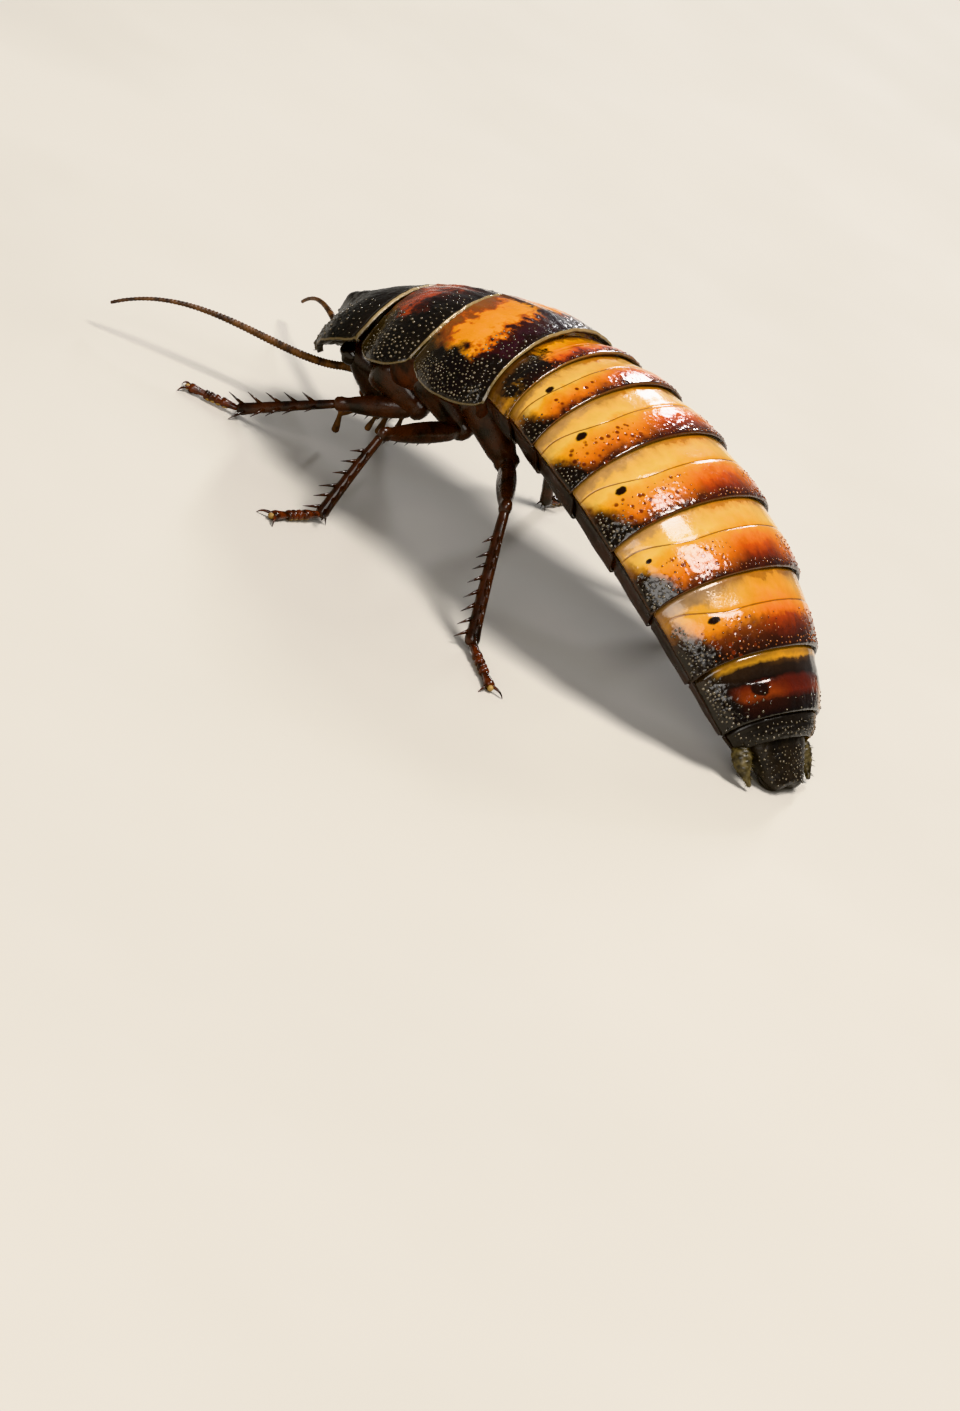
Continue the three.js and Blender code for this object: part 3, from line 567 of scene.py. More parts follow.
def granules(name, place, areas, material, seed):
    """Small domes of horn on a plate. Each area gives where they stand, how far apart and how big:
    (u from, u to, |v| from, |v| to, spacing, smallest, largest). Those kept are sorted in 1 mm cells."""
    draw = random.Random(seed)
    kept, stands = {}, []
    for u0, u1, v0, v1, spacing, small, large in areas:
        for side in (1, -1):
            corner = [place(mix(u0, u1, a), side * mix(v0, v1, b)) for a, b in ((0, 0), (1, 0), (0, 1))]
            area = (corner[1] - corner[0]).length * (corner[2] - corner[0]).length
            closest, tries = spacing * 0.7, int(area / spacing ** 2 * 4)
            for _ in range(tries):
                u, v = mix(u0, u1, draw.random()), side * mix(v0, v1, draw.random())
                at = place(u, v)
                cell = [floor(part) for part in at]
                around = product(*((part - 1, part, part + 1) for part in cell))
                near = [other for key in around for other in kept.get(key, ())]
                if any((at - other).length < closest for other in near):
                    continue
                kept.setdefault(tuple(cell), []).append(at)
                facing = (place(u + 0.02, v) - at).cross(place(u, v + 0.02) - at).normalized()
                if facing.dot(at - INSIDE) < 0:
                    facing = -facing
                radius = mix(small, large, draw.random() ** 2)
                turn = facing.to_track_quat("Z", "Y").to_matrix().to_4x4()
                size = Matrix.Diagonal((radius * draw.uniform(0.88, 1.15), radius, radius * 0.7, 1))
                stands.append(Matrix.Translation(at + facing * radius * 0.1) @ turn @ size)
    # The domes are made a few at a time, because a bmesh operator slows down as its mesh grows
    bm, count = bmesh.new(), 40
    batch = bpy.data.meshes.new(name + "_batch")
    for first in range(0, len(stands), count):
        few = bmesh.new()
        for stand in stands[first:first + count]:
            bmesh.ops.create_uvsphere(few, u_segments=7, v_segments=5, radius=1, matrix=stand)
        few.to_mesh(batch)
        few.free()
        bm.from_mesh(batch)
    bpy.data.meshes.remove(batch)
    finish_piece(name, bm, material)


def edge_roll(distance, radius=0.32):
    """How far a plate's surface turns down near its edge."""
    if distance >= radius:
        return 0.0
    return radius * (1 - sqrt(clamp(1 - (1 - max(0, distance) / radius) ** 2)))


def wrinkle(place, size):
    return noise.noise(place / size)


# Back plates of the thorax

def lobe_hang(u, v, deepest):
    """The side lobes of the wing plates have rounded corners and hang lowest in the middle."""
    return swept_back(v) * mix(0.75, -deepest, sin(clamp(u) * pi) ** 0.55)


def thorax_back(size, u, v, shape, relief):
    width, rise, sweep = shape
    half_width, length = size["half_width"], size["hind"] - size["front"]
    out, over = arch_at(v, size["wrap"])
    arch = mix(-size["drop"], size["height"], over) * rise + relief
    arch -= edge_roll((1 - abs(v)) * half_width * 1.2) + edge_roll((1 - u) * length, 0.22)
    return body_point(mix(size["front"], size["hind"], u) + sweep, out * half_width * width, arch)


def pronotum_back(u, v):
    """Two low rounded horns, a dimple between them, a knobbly front rim and a corded hind rim."""
    shape = (
        mix(0.5, 1, rounding(u / 0.72) ** 0.9),
        mix(0.34, 1, smooth(u / 0.8)),
        mix(2.2 * abs(v) ** 2.5, PRONOTUM["sweep"] * swept_back(v), smooth(u)),
    )
    horn = bump(u, 0.42, 0.17) * bump(abs(v), 0.27, 0.13)
    dimple = bump(u, 0.42, 0.2) * bump(v, 0, 0.12)
    rim = bump(u, 0, 0.07) * cos(v * pi / 2)
    cord = 0.16 * bump(u, 0.975, 0.02)
    at = Vector((u * 12, v * 10, 0))
    knobs = (0.16 * wrinkle(at, 1.1) + 0.08 * wrinkle(at, 0.5)) * mix(1, 0.35, smooth((u - 0.4) / 0.4))
    return thorax_back(PRONOTUM, u, v, shape, HORN_HEIGHT * horn - 0.4 * dimple + 0.7 * rim + cord + knobs)


def lobe_shape(u, v, front_sweep, hind_sweep):
    width = mix(0.86, 1.03, rounding(u / 0.5)) * mix(1, 0.92, clamp((u - 0.6) / 0.4) ** 2.2)
    return width, 1, mix(front_sweep, hind_sweep, u) * swept_back(v)


def wing_plate_relief(u, v, seed):
    """A corded hind rim, a faint ridge down the middle, shallow wrinkles running back."""
    at = Vector((u * 3, v * 11, seed))
    return (-0.35 * (1 - smooth(u / 0.6)) + 0.14 * bump(u, 0.972, 0.022) + 0.12 * bump(v, 0, 0.03)
            + 0.07 * wrinkle(at, 0.9) + 0.04 * wrinkle(at, 0.4))


def mesonotum_back(u, v):
    shape = lobe_shape(u, v, PRONOTUM["sweep"], MESONOTUM["sweep"])
    return thorax_back(MESONOTUM, u, v, shape, wing_plate_relief(u, v, 1.0) + lobe_hang(u, v, 0.6))


def metanotum_back(u, v):
    shape = lobe_shape(u, v, MESONOTUM["sweep"], METANOTUM["sweep"])
    return thorax_back(METANOTUM, u, v, shape, wing_plate_relief(u, v, 5.0) + lobe_hang(u, v, 1.0))


# Abdomen

def ring_edges(index, u):
    """Sizes of ring index (from 1) at u along it, between the ring before and its own hind edge."""
    before, ring = RINGS[index - 1], RINGS[index]
    t = clamp(u)
    sizes = {key: mix(before[key], ring[key], t) for key in RING_KEYS[1:]}
    sizes["s"] = mix(before["hind"] + GAP, ring["hind"], u)
    return sizes


def ring_back(index):
    """Back plate of one ring: the front slides under the plate before, the hind edge stands proud."""
    def place(u, v):
        size = ring_edges(index, u)
        length = RINGS[index]["hind"] - RINGS[index - 1]["hind"]
        step = RING_STEP * (1 - smooth(u / 0.7)) + (0.25 * smooth(-u * length / 1.2) if u < 0 else 0)
        out, over = arch_at(v, size["wrap"])
        at = Vector((u * length * 0.8, v * 12, index * 7.0))
        folds = 0.05 * wrinkle(at, 1.3) + 0.03 * wrinkle(at, 0.5) * smooth((u - 0.35) / 0.2)
        groove = -0.07 * bump(u + 0.24 * smooth((abs(v) - 0.42) / 0.53), 0.39, 0.025)
        up = (size["height"] - step) * over + folds + groove
        up -= edge_roll((1 - abs(v)) * size["half_width"] * 1.3, 0.3) + edge_roll((1 - u) * length, 0.25)
        left = out * (size["half_width"] - step)
        return body_point(size["s"] + size["sweep"] * swept_back(v), left, up)
    return place


def belly_depth(size, left_share):
    return -0.8 - (size["belly"] - 0.8) * smooth((1 - abs(left_share)) / 0.42)


def ring_belly(index):
    """Belly plate of one ring: broad and flat, its hind edge lying over the next."""
    def place(u, v):
        size = ring_edges(index, u)
        step = 0.3 * (1 - smooth(u / 0.6)) + (0.2 if u < 0 else 0)
        share = 0.955 * v
        left = share * (size["half_width"] - 0.1 - step * 0.6)
        up = belly_depth(size, share) + step * (1 - abs(v) ** 4) + edge_roll((1 - abs(v)) * 4, 0.25)
        return body_point(size["s"] + 0.5 * abs(v) ** 2, left, up)
    return place


def ring_table(key):
    return [(ring["hind"], ring[key]) for ring in RINGS]


WIDTHS, HEIGHTS, BELLIES = ring_table("half_width"), ring_table("height"), ring_table("belly")


def abdomen_skin(t, angle):
    """Joint skin inside the rings, bulging as a soft fold below the side edges of the back plates."""
    s = mix(25.5, 70.4, t)
    taper = rounding(t / 0.05) * rounding((1 - t) / 0.03)
    width = along_table(WIDTHS, s) - 1.1
    if angle >= 0:
        out, over = arch_at(1 - 2 * angle / pi, 79)
        rise = (along_table(HEIGHTS, s) - 1.3) * over
        return body_point(s, out * width * taper, rise * taper - 0.25)
    size = {"belly": along_table(BELLIES, s)}
    share = cos(angle)
    side = angle if angle > -pi / 2 else -pi - angle
    fold = (0.75 + 0.1 * sin(s * 2.1)) * bump(side, -0.42, 0.3)
    depth = (belly_depth(size, share) + 0.42) * sin(-angle) ** 0.3
    return body_point(s, share * (width + fold) * taper, depth * taper - 0.25)


# Thorax underside

THORAX = dict(front=9.2, hind=27.2, half_width=7.6, wall=1.6, belly=4.6)


def thorax_skin(t, angle):
    """Soft wall under the plates with folds between the three pairs of legs."""
    s = mix(THORAX["front"], THORAX["hind"], t)
    taper = rounding(t / 0.22) ** 0.7 * rounding((1 - t) / 0.1) ** 0.7
    left = cos(angle) * THORAX["half_width"] * mix(0.72, 1, smooth(t / 0.3)) * taper
    folds = 1 + 0.05 * cos((s - 12) * 2 * pi / 6.1)
    steep = sin(angle)
    if angle >= 0:
        return body_point(s, left, mix(2.4, 4.4, smooth(t / 0.5)) * steep * taper)
    depth = THORAX["wall"] + THORAX["belly"] * (-steep) ** 0.7 * 0.97
    return body_point(s, left, -depth * folds * taper * min(1, -steep * 3))


# Last plate

TAIL_UP = directions_at(72.5)[2]


def last_plate_back(u, v):
    """Black tongue that slides out from under the last ring, with a rounded, faintly notched tip."""
    notch = 0.5 * smooth(u) * bump(v, 0, 0.28)
    rounded = 2.2 * u * u * abs(v) ** 2.2
    reach = LAST_PLATE["half_width"] * mix(0.97, 0.7, smooth(u))
    top = mix(LAST_PLATE["height"] - 0.1, 1.5, u) * cos(v * pi / 2) ** 0.85
    s = mix(LAST_PLATE["root"], LAST_PLATE["hind"], u) - notch - rounded
    at = body_point(s, sin(v * pi / 2) * reach, top)
    return at + TAIL_UP * (0.07 * wrinkle(at, 0.7) + 0.04 * wrinkle(at, 0.35))


def last_plate(t, angle):
    """The tongue as a closed form: its back, and an underside that is cut off by the floor."""
    v = clamp(1 - 2 * abs(angle) / pi, -1, 1)
    arch = cos(v * pi / 2)
    ends = rounding(t / 0.05) * rounding((1 - t) / 0.1)
    under = mix(LAST_PLATE["thickness"], 1.0, t) * mix(0.4, 1, arch)
    drop = mix(LAST_PLATE["height"], 1.5, t) * arch * 0.75 + under
    share = (1 - ends) / 2 if angle >= 0 else (1 + ends) / 2
    at = last_plate_back(t, v) - directions_at(72)[2] * drop * share
    at.z = max(at.z, 0.0)
    return at


# Head

AHEAD, LEFT, UP = directions_at(HEAD_PLACE["s"])
HEAD_FRAME = Matrix((AHEAD, LEFT, UP)).transposed()
HEAD_CENTRE = body_point(HEAD_PLACE["s"], 0, HEAD_PLACE["height"])


def head_point(forward, left, up):
    return HEAD_CENTRE + HEAD_FRAME @ Vector((forward, left, up))


def head_surface(t, angle):
    """Pear-shaped capsule: t runs from the crown to the mouth; brow ridges, cheeks and a face groove."""
    height = cos(t * pi)
    ring = sin(t * pi)
    taper = mix(0.55, 1, smooth((height + 1) / 1.5))
    forward, side = cos(angle) * ring, sin(angle) * ring
    depth = HEAD_SIZE.x * (0.85 if forward > 0 else 1) * mix(0.8, 1, taper)
    cheek = 0.1 * bump(height, -0.55, 0.2) * bump(abs(side), 0.5, 0.2)
    swell = 1 + cheek
    if forward > 0:
        brow = 0.12 * bump(height, 0.45, 0.2) * bump(abs(side), 0.35, 0.2)
        socket = 0.3 * bump(height, 0.08, 0.13) * bump(abs(side), 0.4, 0.13)
        groove = 0.1 * bump(height, -0.42, 0.035)
        swell += brow - socket - groove
    left = side * HEAD_SIZE.y * taper * (1 + cheek)
    return head_point(forward * depth * swell, left, height * HEAD_SIZE.z)


def eye_surface(side):
    """Kidney-shaped eye wrapped round the side of the head."""
    def place(t, angle):
        up = cos(t * pi) * EYE_SIZE.z
        ring = sin(t * pi)
        forward = cos(angle) * ring * EYE_SIZE.x
        out = sin(angle) * ring * EYE_SIZE.y
        notch = 0.35 * bump(up, -0.1, 0.55) * smooth(forward / 1.2)
        bend = 0.072 * up * up + notch
        return head_point(forward + 0.7 - bend, side * (out + 2.85), up * 0.72 + 1.35)
    return place


def antenna_path(side):
    outward = 1 if side > 0 else 0.8
    root = head_point(1.6, side * 1.4, 0.35)
    lead = (HEAD_FRAME @ Vector((4.6, side * 1.6, 0.6))).normalized() * 7
    bend, tip = Vector((13.5, side * 9.5 * outward, 1.5)), Vector((19, side * 15 * outward, -4.6))
    return [root, root + lead, root + bend, root + tip]


def bead(centre, size, side=1, bend=None):
    """A rounded form on the head, given by its middle and its half sizes forward, sideways and up."""
    def place(t, angle):
        ring = sin(t * pi)
        forward, out, up = cos(angle) * ring, sin(angle) * ring, cos(t * pi)
        if bend:
            forward, out, up = bend(forward, out, up)
        left = side * (centre[1] + out * size[1])
        return head_point(centre[0] + forward * size[0], left, centre[2] + up * size[2])
    return place


def narrow_below(forward, out, up):
    return forward, out * mix(0.72, 1, smooth((up + 1) / 2)), up


def tipped_lip(forward, out, up):
    """Narrow above, swung back below, with a notch in the middle of the lower edge."""
    notch = 0.22 * bump(out, 0, 0.3) * smooth(-up)
    return forward - 0.25 * (1 - up), out * mix(1, 0.78, smooth((up + 1) / 2)), up + notch


def hooked_jaw(forward, out, up):
    return forward + 0.25 * smooth(-up), out - 0.75 * smooth(-up - 0.1), up


# Legs

def knee_of(hip, ankle, upper, lower, towards):
    axis = ankle - hip
    reach = min(axis.length, upper + lower - 0.05)
    axis.normalize()
    distance = (upper ** 2 - lower ** 2 + reach ** 2) / (2 * reach)
    height = sqrt(max(0, upper ** 2 - distance ** 2))
    side = (towards - axis * towards.dot(axis)).normalized()
    return hip + axis * distance + side * height


def leg_points(leg, side):
    base = body_point(leg["hip"], side * 5.4, -3.2)
    trochanter = base + body_direction(leg["hip"], -0.62, -side * 0.3, -0.72).normalized() * leg["coxa"]
    ankle = Vector((FRONT_EDGE.x + leg["ankle"][0], side * leg["ankle"][1], FOOT_LEVEL + 0.35))
    towards = Vector((leg["knee"][0], side * leg["knee"][1], leg["knee"][2]))
    knee = knee_of(trochanter, ankle, leg["femur"], leg["tibia"], towards)
    toe = ankle + Vector((leg["toe"][0], side * leg["toe"][1], 0)).normalized() * leg["tarsus"]
    toe.z = FOOT_LEVEL
    return base, trochanter, knee, ankle, toe


def coxa(leg, hip, trochanter):
    """Broad flat hip joint, with a waist before its end."""
    bm = bmesh.new()

    def girth(t):
        return mix(2.05, 1.2, t) * (1 - 0.12 * bump(t, 0.9, 0.05))
    limb(bm, [hip, trochanter], girth, 20, 22, 1.15, body_direction(leg["hip"], 0.6, 0, 0.8))
    return bm


def femur(leg, trochanter, knee):
    """Thigh with a small hinge ring at its root and a row of short bristles under it."""
    bm = bmesh.new()

    def girth(t):
        swell = mix(0.72, 1.16, sin(clamp(t * 1.15) * pi) ** 0.8)
        return leg["girth"] * swell * (1 - 0.22 * bump(t, 0.12, 0.02)) * (1 + 0.12 * bump(t, 0.97, 0.03))
    limb(bm, [trochanter, knee], girth, 18, 40, 0.72)
    axis = (knee - trochanter).normalized()
    under = (Vector((0, 0, -1)) + axis * axis.z).normalized()
    for i in range(5):
        t = mix(0.35, 0.92, i / 4)
        root = trochanter.lerp(knee, t) + under * girth(t) * 0.9
        spike(bm, root, under + axis * 0.9, 0.7, 0.09, 6)
    return bm


def tibia(leg, side, knee, ankle):
    """Shin armed with stout spines that slant to the foot, longest near the ankle."""
    axis = (ankle - knee).normalized()
    out = Vector((0, side, 0.35))
    out = (out - axis * axis.dot(out)).normalized()
    across = axis.cross(out)
    bm = bmesh.new()

    def girth(t):
        return leg["girth"] * mix(0.46, 0.62, t) * (1 + 0.1 * bump(t, 0.97, 0.03))
    start = knee + axis * leg["girth"] * 0.55
    bow = knee.lerp(ankle, 0.5) + out * 0.25
    limb(bm, [start, bow, ankle - axis * 0.1], girth, 14, 30)
    draw = random.Random(leg["spines"] * 10 + side)
    for i in range(leg["spines"]):
        t = mix(0.2, 0.94, i / (leg["spines"] - 1))
        for row in (-1, 1):
            at = clamp(t + draw.uniform(-0.02, 0.02))
            lean = out * 0.72 + across * row * 0.7 + axis * draw.uniform(0.7, 0.95)
            root = bezier([start, bow, ankle], at) + (out + across * row).normalized() * girth(at) * 0.6
            spike(bm, root, lean, mix(1.5, 2.1, t) * draw.uniform(0.9, 1.08), 0.24)
    for row in (-1, 0, 1):
        spike(bm, ankle - axis * 0.5 - out * 0.25, -out * 0.5 + across * row * 0.6 + axis, 1.5, 0.2)
    keep_above(bm, 0.02)
    return bm


def tarsus(ankle, toe):
    """Foot: four short joints and a long one, and two curved claws."""
    axis = (toe - ankle).normalized()
    across = Vector((0, 0, 1)).cross(axis)
    bm = bmesh.new()
    for joint in zip(FOOT_JOINTS, FOOT_JOINTS[1:]):
        limb(bm, [ankle.lerp(toe, end) for end in joint], lambda t: mix(0.3, 0.5, t ** 1.5), 12, 12, 1.1)
    for row in (-1, 1):
        root = toe + across * row * 0.16
        bend = axis * 0.8 + across * row * 0.75 + Vector((0, 0, 0.25))
        tip = axis * 1.0 + across * row * 1.1 - Vector((0, 0, 0.42))
        limb(bm, [root, root + bend, root + tip], lambda t: mix(0.2, 0.03, t), 8, 14)
    keep_above(bm, 0)
    return bm


def foot_pads(ankle, toe):
    """A flat pad under the end of each short joint, and a round one between the claws."""
    axis = (toe - ankle).normalized()
    turn = axis.to_track_quat("X", "Z").to_matrix().to_4x4() @ Matrix.Diagonal((0.42, 0.34, 0.2, 1))
    stands = [Matrix.Translation(ankle.lerp(toe, last) - axis * 0.28 - Vector((0, 0, 0.34))) @ turn
              for last in FOOT_JOINTS[1:-1]]
    stands.append(Matrix.Translation(toe + axis * 0.35 - Vector((0, 0, 0.05))) @ Matrix.Scale(0.3, 4))
    bm = bmesh.new()
    for stand in stands:
        bmesh.ops.create_uvsphere(bm, u_segments=12, v_segments=8, radius=1, matrix=stand)
    keep_above(bm, 0)
    return bm


def cercus_piece(side, word):
    """Tail feeler: a short spindle of nine rings drawn to a point, with a sparse coat of stiff hairs."""
    bends = ((69, 4.5, -0.3), (71.6, 5.6, -0.2), (73.4, 5, -0.1))
    path = [body_point(s, side * left, up) for s, left, up in bends]
    rings = 9
    bm = bmesh.new()

    def girth(t):
        spindle = mix(0.72, 0.95, smooth(t / 0.3)) * mix(1, 0.24, smooth((t - 0.3) / 0.7))
        return spindle * (1 + 0.07 * abs(sin(t * rings * pi)))
    limb(bm, path, girth, 18, 110)
    draw = random.Random(7 + side)
    for i in range(34):
        t, angle = mix(0.08, 0.98, i / 33), draw.uniform(0, 2 * pi)
        ahead = (bezier(path, t + 0.01) - bezier(path, t - 0.01)).normalized()
        out = ahead.orthogonal().normalized()
        out = Matrix.Rotation(angle, 3, ahead) @ out
        spike(bm, bezier(path, t) + out * girth(t) * 0.95, out + ahead * 0.8, 0.45, 0.045, 5)
    keep_above(bm, 0.02)
    finish_piece(f"cercus_{word}_horn", bm, CERCUS_HORN, [f"cercus_{word}"])


# Pieces of the back

plate_piece("pronotum_horn", pronotum_back, (130, 150), PRONOTUM_HORN, "black_shell", ["pronotum"], 0.6)
plate_piece("mesonotum_horn", mesonotum_back, (80, 190), MESONOTUM_HORN, "umber_shell", ["mesonotum"], 0.5,
            corner=lambda u, side: side - 0.6 + 0.25 * smooth((u - 0.4) / 0.5))
plate_piece("metanotum_horn", metanotum_back, (90, 200), METANOTUM_HORN, "umber_shell", ["metanotum"], 0.5,
            corner=lambda u, side: side - 0.71 + 0.1 * smooth((u - 0.5) / 0.5))


def seam_line(side):
    """Where the fine seam of an amber plate runs: it bends forward at the sides."""
    return 0.39 - 0.25 * smooth((side - 0.42) / 0.53)


def corner_line(front, hind, start=0.0):
    """The pebbled corner of a ring starts at |v| = front at u = start, and at |v| = hind at u = 1."""
    return lambda u, side: side - mix(front, hind, (u - start) / (1 - start))


# Each ring's horn, pebbled corner, seam, and eye spot: its u, |v| and size
RING_LOOKS = (
    (FIRST_RING_HORN, (0.92, 0.8), None, None),
    (SECOND_RING_HORN, (1.0, 0.72), seam_line, (0.23, 0.61, 0.55)),
    (AMBER_HORN, (0.98, 0.74, 0.38), seam_line, (0.38, 0.69, 0.68)),
    (AMBER_HORN, (0.97, 0.7, 0.34), seam_line, (0.38, 0.71, 0.68)),
    (AMBER_HORN, (0.95, 0.66, 0.32), seam_line, (0.37, 0.82, 0.4)),
    (SIXTH_RING_HORN, (0.88, 0.64, 0.28), seam_line, (0.43, 0.6, 0.66)),
    (SEVENTH_RING_HORN, (0.82, 0.66), None, (0.52, 0.45, 1.15)),
    (TAIL_HORN, None, None, None),
)
for index, (horn, corner, seam, spot) in enumerate(RING_LOOKS, start=1):
    length = RINGS[index]["hind"] - RINGS[index - 1]["hind"]
    counts = (max(24, int(length * 13)), 200)
    slot = "amber_shell" if index < 7 else "black_shell"
    plate_piece(f"back_plate_{index}", ring_back(index), counts, horn, slot, [f"abdomen_segment_{index}"],
                0.4, -1.1 / length, corner=corner and corner_line(*corner), seam=seam, spot=spot)
    plate_piece(f"belly_plate_{index}", ring_belly(index), (24, 90), BELLY_HORN, "underside", [],
                0.3, -0.9 / length, outward=body_direction(RINGS[index]["hind"], 0, 0, -1))

form_piece("abdomen_joint_skin", abdomen_skin, (96, 180), JOINT_SKIN)
form_piece("thorax_underside_skin", thorax_skin, (64, 90), JOINT_SKIN, ["thorax_underside"])
form_piece("supra_anal_plate_horn", last_plate, (72, 60), LAST_PLATE_HORN,
           ["supra_anal_plate"])

# Granules: packed 0.45 mm apart in the corners, scattered ahead of them and in rows at the hind edges.
# Each plate has its smoky areas first, then its mahogany ones, as granules() reads them
RING_GRANULES = (
    ([(0.05, 0.93, 0.5, 0.88, 0.62, 0.09, 0.15)],
     [(0.78, 0.94, 0.0, 0.5, 0.6, 0.07, 0.11)]),
    ([(0.25, 0.95, 0.9, 0.99, 0.42, 0.09, 0.16), (0.6, 0.95, 0.78, 0.9, 0.5, 0.09, 0.15)],
     [(0.82, 0.95, 0.0, 0.78, 0.55, 0.07, 0.12), (0.62, 0.82, 0.45, 0.78, 1.1, 0.06, 0.1)]),
    ([(0.48, 0.95, 0.93, 0.99, 0.42, 0.09, 0.17), (0.72, 0.95, 0.83, 0.93, 0.48, 0.09, 0.16)],
     [(0.86, 0.96, 0.0, 0.83, 0.55, 0.07, 0.12), (0.55, 0.86, 0.3, 0.83, 0.85, 0.07, 0.12)]),
    ([(0.44, 0.96, 0.91, 0.99, 0.42, 0.1, 0.17), (0.68, 0.96, 0.79, 0.91, 0.48, 0.1, 0.16)],
     [(0.87, 0.96, 0.0, 0.79, 0.52, 0.07, 0.13), (0.5, 0.87, 0.26, 0.79, 0.78, 0.07, 0.12)]),
    ([(0.42, 0.96, 0.9, 0.99, 0.42, 0.1, 0.17), (0.64, 0.96, 0.77, 0.9, 0.48, 0.1, 0.16)],
     [(0.87, 0.96, 0.0, 0.77, 0.52, 0.07, 0.13), (0.48, 0.87, 0.22, 0.77, 0.75, 0.07, 0.13)]),
    ([(0.3, 0.96, 0.86, 0.99, 0.42, 0.1, 0.17), (0.6, 0.96, 0.74, 0.86, 0.48, 0.1, 0.17)],
     [(0.86, 0.96, 0.0, 0.74, 0.55, 0.08, 0.14), (0.52, 0.86, 0.1, 0.74, 0.75, 0.08, 0.14)]),
    ([(0.08, 0.95, 0.8, 0.99, 0.45, 0.1, 0.18), (0.6, 0.95, 0.4, 0.8, 0.9, 0.09, 0.15),
      (0.75, 0.95, 0.0, 0.4, 1.1, 0.07, 0.12)], []),
    ([(0.1, 0.92, 0.0, 0.96, 0.55, 0.08, 0.14)], []),
)
GRANULE_AREAS = (
    ("pronotum", pronotum_back, (
        [(0.02, 0.35, 0.0, 0.97, 0.8, 0.1, 0.2), (0.35, 0.93, 0.5, 0.97, 0.85, 0.08, 0.15)], [])),
    ("mesonotum", mesonotum_back, (
        [(0.06, 0.93, 0.8, 0.98, 0.5, 0.1, 0.17), (0.1, 0.93, 0.58, 0.8, 0.72, 0.1, 0.17),
         (0.55, 0.93, 0.2, 0.58, 0.72, 0.08, 0.14)], [])),
    ("metanotum", metanotum_back, (
        [(0.06, 0.94, 0.82, 0.99, 0.4, 0.08, 0.15), (0.3, 0.94, 0.7, 0.82, 0.46, 0.08, 0.16),
         (0.62, 0.94, 0.4, 0.7, 0.6, 0.09, 0.15), (0.76, 0.94, 0.1, 0.4, 0.8, 0.07, 0.11)], [])),
    *((f"back_plate_{i}", ring_back(i), areas) for i, areas in enumerate(RING_GRANULES, start=1)),
    ("supra_anal_plate", last_plate_back, ([(0.28, 0.97, 0.0, 0.9, 0.5, 0.07, 0.13)], [])),
)
for seed, (name, place, (smoky, mahogany)) in enumerate(GRANULE_AREAS, start=1):
    slot = "amber_shell" if mahogany else "black_shell"
    granules(f"{name}_grey_sheen_granules", place, smoky, GRANULE_HORN, seed)
    if mahogany:
        granules(f"{name}_mahogany_granules", place, mahogany, AMBER_GRANULE_HORN, seed + 50)

# Head, neck, feelers and legs

# Mouth feelers: name, thickness, and the joints on the head (forward, sideways, up)
PALPS = (
    ("maxillary", 0.33,
     ((-0.2, 1.6, -3), (0.3, 2.3, -3.7), (0.9, 3, -4.3), (2.6, 3.4, -4.2), (3.9, 3.1, -5.6))),
    ("labial", 0.27, ((-0.6, 1, -4), (-0.6, 1.5, -4.7), (-0.5, 1.9, -5.3), (0.6, 2.1, -6.2))),
)
FEELER_RINGS = 70


def whip(t):
    """Girth of a feeler: a stout root, then a long taper, ringed all the way."""
    base = mix(0.62, 0.4, smooth(t / 0.07))
    size = mix(base, 0.17, smooth((t - 0.3) / 0.7))
    return size * (1 + 0.11 * sin(t * FEELER_RINGS * 2 * pi))


form_piece("head_horn", head_surface, (72, 60), HEAD_HORN, ["head"])
neck = bmesh.new()
nape = [head_point(-1.0, 0, 0.6), body_point(THORAX["front"] + 1.5, 0, -0.6)]
limb(neck, nape, lambda t: 1.9 + 0.12 * sin(t * 25), 28, 30, 1.3)
finish_piece("neck_skin", neck, JOINT_SKIN, ["neck"])
for side, word in SIDES:
    form_piece(f"eye_{word}_gloss", eye_surface(side), (36, 28), EYE_GLOSS, [f"eye_{word}"])
    feeler = bmesh.new()
    limb(feeler, antenna_path(side), whip, 10, 420)
    finish_piece(f"antenna_{word}_horn", feeler, FEELER_HORN, [f"antenna_{word}"])
    for label, thick, joints in PALPS:
        palp = bmesh.new()
        points = [head_point(forward, side * left, up) for forward, left, up in joints]
        for a, b in zip(points, points[1:]):
            # The last joint is a club
            thin, full, rate = (0.7, 1.15, 1) if b == points[-1] else (0.72, 1.0, 1.3)
            limb(palp, [a.lerp(b, 0.1), b], lambda t: thick * mix(thin, full, smooth(t * rate)), 14, 22)
        finish_piece(f"{label}_palp_{word}_horn", palp, FEELER_HORN, [f"{label}_palp_{word}"])
    cercus_piece(side, word)
    for leg in LEGS:
        hip, trochanter, knee, ankle, toe = leg_points(leg, side)
        for part, horn, bm in (
            ("coxa", LEG_HORN, coxa(leg, hip, trochanter)),
            ("femur", LEG_HORN, femur(leg, trochanter, knee)),
            ("tibia", LEG_HORN, tibia(leg, side, knee, ankle)),
            ("tarsus", SPINE_HORN, tarsus(ankle, toe)),
        ):
            name = f"{leg['name']}_{part}_{word}"
            finish_piece(name + "_horn", bm, horn, [name])
        finish_piece(name + "_pads", foot_pads(ankle, toe), PAD_SKIN)

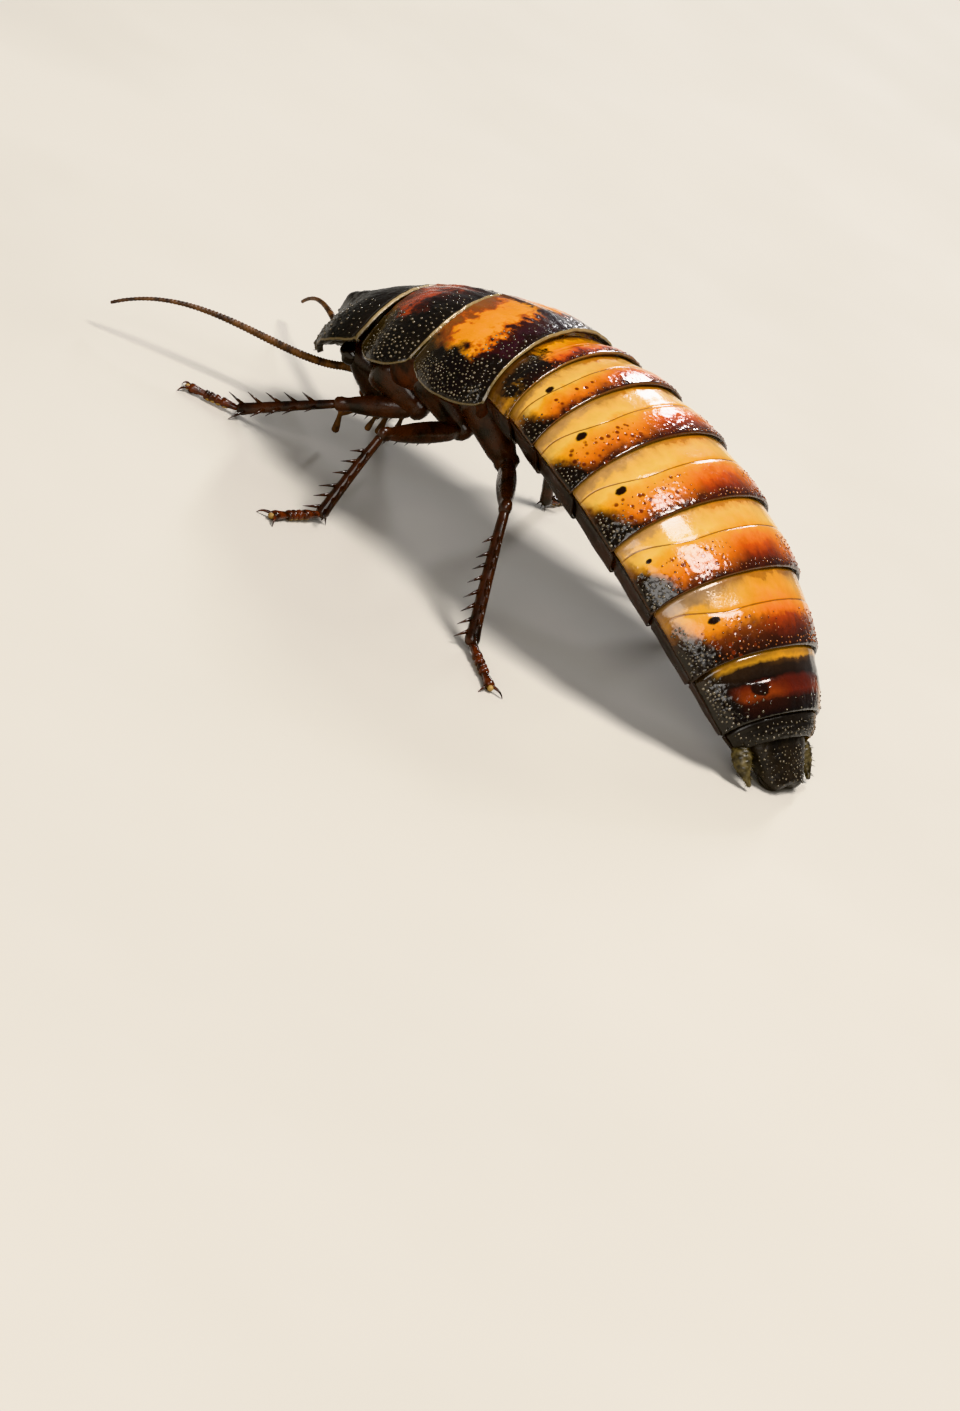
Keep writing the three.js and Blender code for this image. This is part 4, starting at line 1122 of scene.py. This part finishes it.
form_piece("face_plate_horn", bead((1.62, 0, -2.45), (0.32, 1.5, 0.72), bend=narrow_below), (24, 18),
           LIP_HORN)
form_piece("upper_lip_horn", bead((1.42, 0, -3.7), (0.34, 1.12, 0.9), bend=tipped_lip), (24, 18),
           LIP_HORN)
jaws, brow_spots, sockets = bmesh.new(), bmesh.new(), bmesh.new()
for side, _ in SIDES:
    closed_form(jaws, bead((0.55, 1.15, -3.6), (0.8, 0.78, 1.25), side, hooked_jaw))
    closed_form(brow_spots, bead((1.72, 1.5, 1.25), (0.16, 0.26, 0.3), side))
    root, toward = antenna_path(side)[:2]
    inner = root - (toward - root).normalized() * 0.5
    limb(sockets, [inner, root], lambda t: 0.78 + 0.12 * sin(t * pi), 20, 16)
finish_piece("jaws_horn", jaws, HEAD_HORN)
finish_piece("brow_spots_skin", brow_spots, PAD_SKIN)
finish_piece("feeler_sockets_horn", sockets, HEAD_HORN)

# Floor, light and camera

# Floor: pale matt board, very faintly clouded over 60 mm, a disc of 3 m
FLOOR = horn_finish("pale_matt_floor", "#c4c0b9", "#cac6bf", 60, (0.7, 0.8), 0.02, 1.45)
disc, ground = bmesh.new(), bpy.data.meshes.new("floor")
bmesh.ops.create_circle(disc, cap_ends=True, segments=64, radius=3)
disc.to_mesh(ground)
disc.free()
ground.materials.append(FLOOR)
floor_piece = bpy.data.objects.new("floor", ground)
SCENE.collection.objects.link(floor_piece)

SCENE.view_settings.view_transform = "Khronos PBR Neutral"
world = SCENE.world or bpy.data.worlds.new("studio")
SCENE.world = world
world.use_nodes = True
world.node_tree.nodes["Background"].inputs["Color"].default_value = linear("#e8e6e4")
world.node_tree.nodes["Background"].inputs["Strength"].default_value = 0.3


def soft_light(name, place, target, size, power, colour):
    lamp = bpy.data.lights.new(name, "AREA")
    lamp.shape = "RECTANGLE"
    lamp.size, lamp.size_y = size
    lamp.energy = power
    lamp.color = linear(colour)[:3]
    holder = bpy.data.objects.new(name, lamp)
    holder.location = place
    holder.rotation_mode = "QUATERNION"
    holder.rotation_quaternion = (Vector(target) - Vector(place)).to_track_quat("-Z", "Y")
    SCENE.collection.objects.link(holder)


# The key hangs where its reflection falls on the left flank of the fourth to sixth rings, and the narrow
# strip where it draws a streak down the middle of the back; the fill stands beside the camera.
# Each light: place, target and size in metres, watts, colour
soft_light("key_softbox", (-0.17, -0.06, 0.68), (-0.015, 0, 0.015), (0.24, 0.24), 5.2, "#fffaf4")
soft_light("camera_fill_softbox", (-0.3, 0.6, 0.38), (0, 0, 0.01), (0.5, 0.5), 2.8, "#fffaf4")
soft_light("streak_softbox", (0.3, -0.58, 0.3), (-0.012, 0, 0.02), (0.06, 0.22), 1.6, "#ffffff")

# The camera stands where the fit of the plates' hind edges to the photograph put it
CAMERA_PLACE = Vector((-279.2, 468.7, 211.6)) * MM
CAMERA_RIGHT = Vector((-0.67837, -0.59732, 0.4278))
CAMERA_UP = Vector((0.57048, -0.06131, 0.81902))
FOCAL_PIXELS, FRAME_PIXELS = 6023.5, 1411
camera_data = bpy.data.cameras.new("photo_view")
camera_data.sensor_width = 36
camera_data.lens = FOCAL_PIXELS / FRAME_PIXELS * 36
camera_data.clip_start, camera_data.clip_end = 0.02, 20
camera = bpy.data.objects.new("photo_view", camera_data)
turned = Matrix((CAMERA_RIGHT, CAMERA_UP, CAMERA_RIGHT.cross(CAMERA_UP))).transposed()
camera.matrix_world = Matrix.Translation(CAMERA_PLACE) @ turned.to_4x4()
SCENE.collection.objects.link(camera)
SCENE.camera = camera
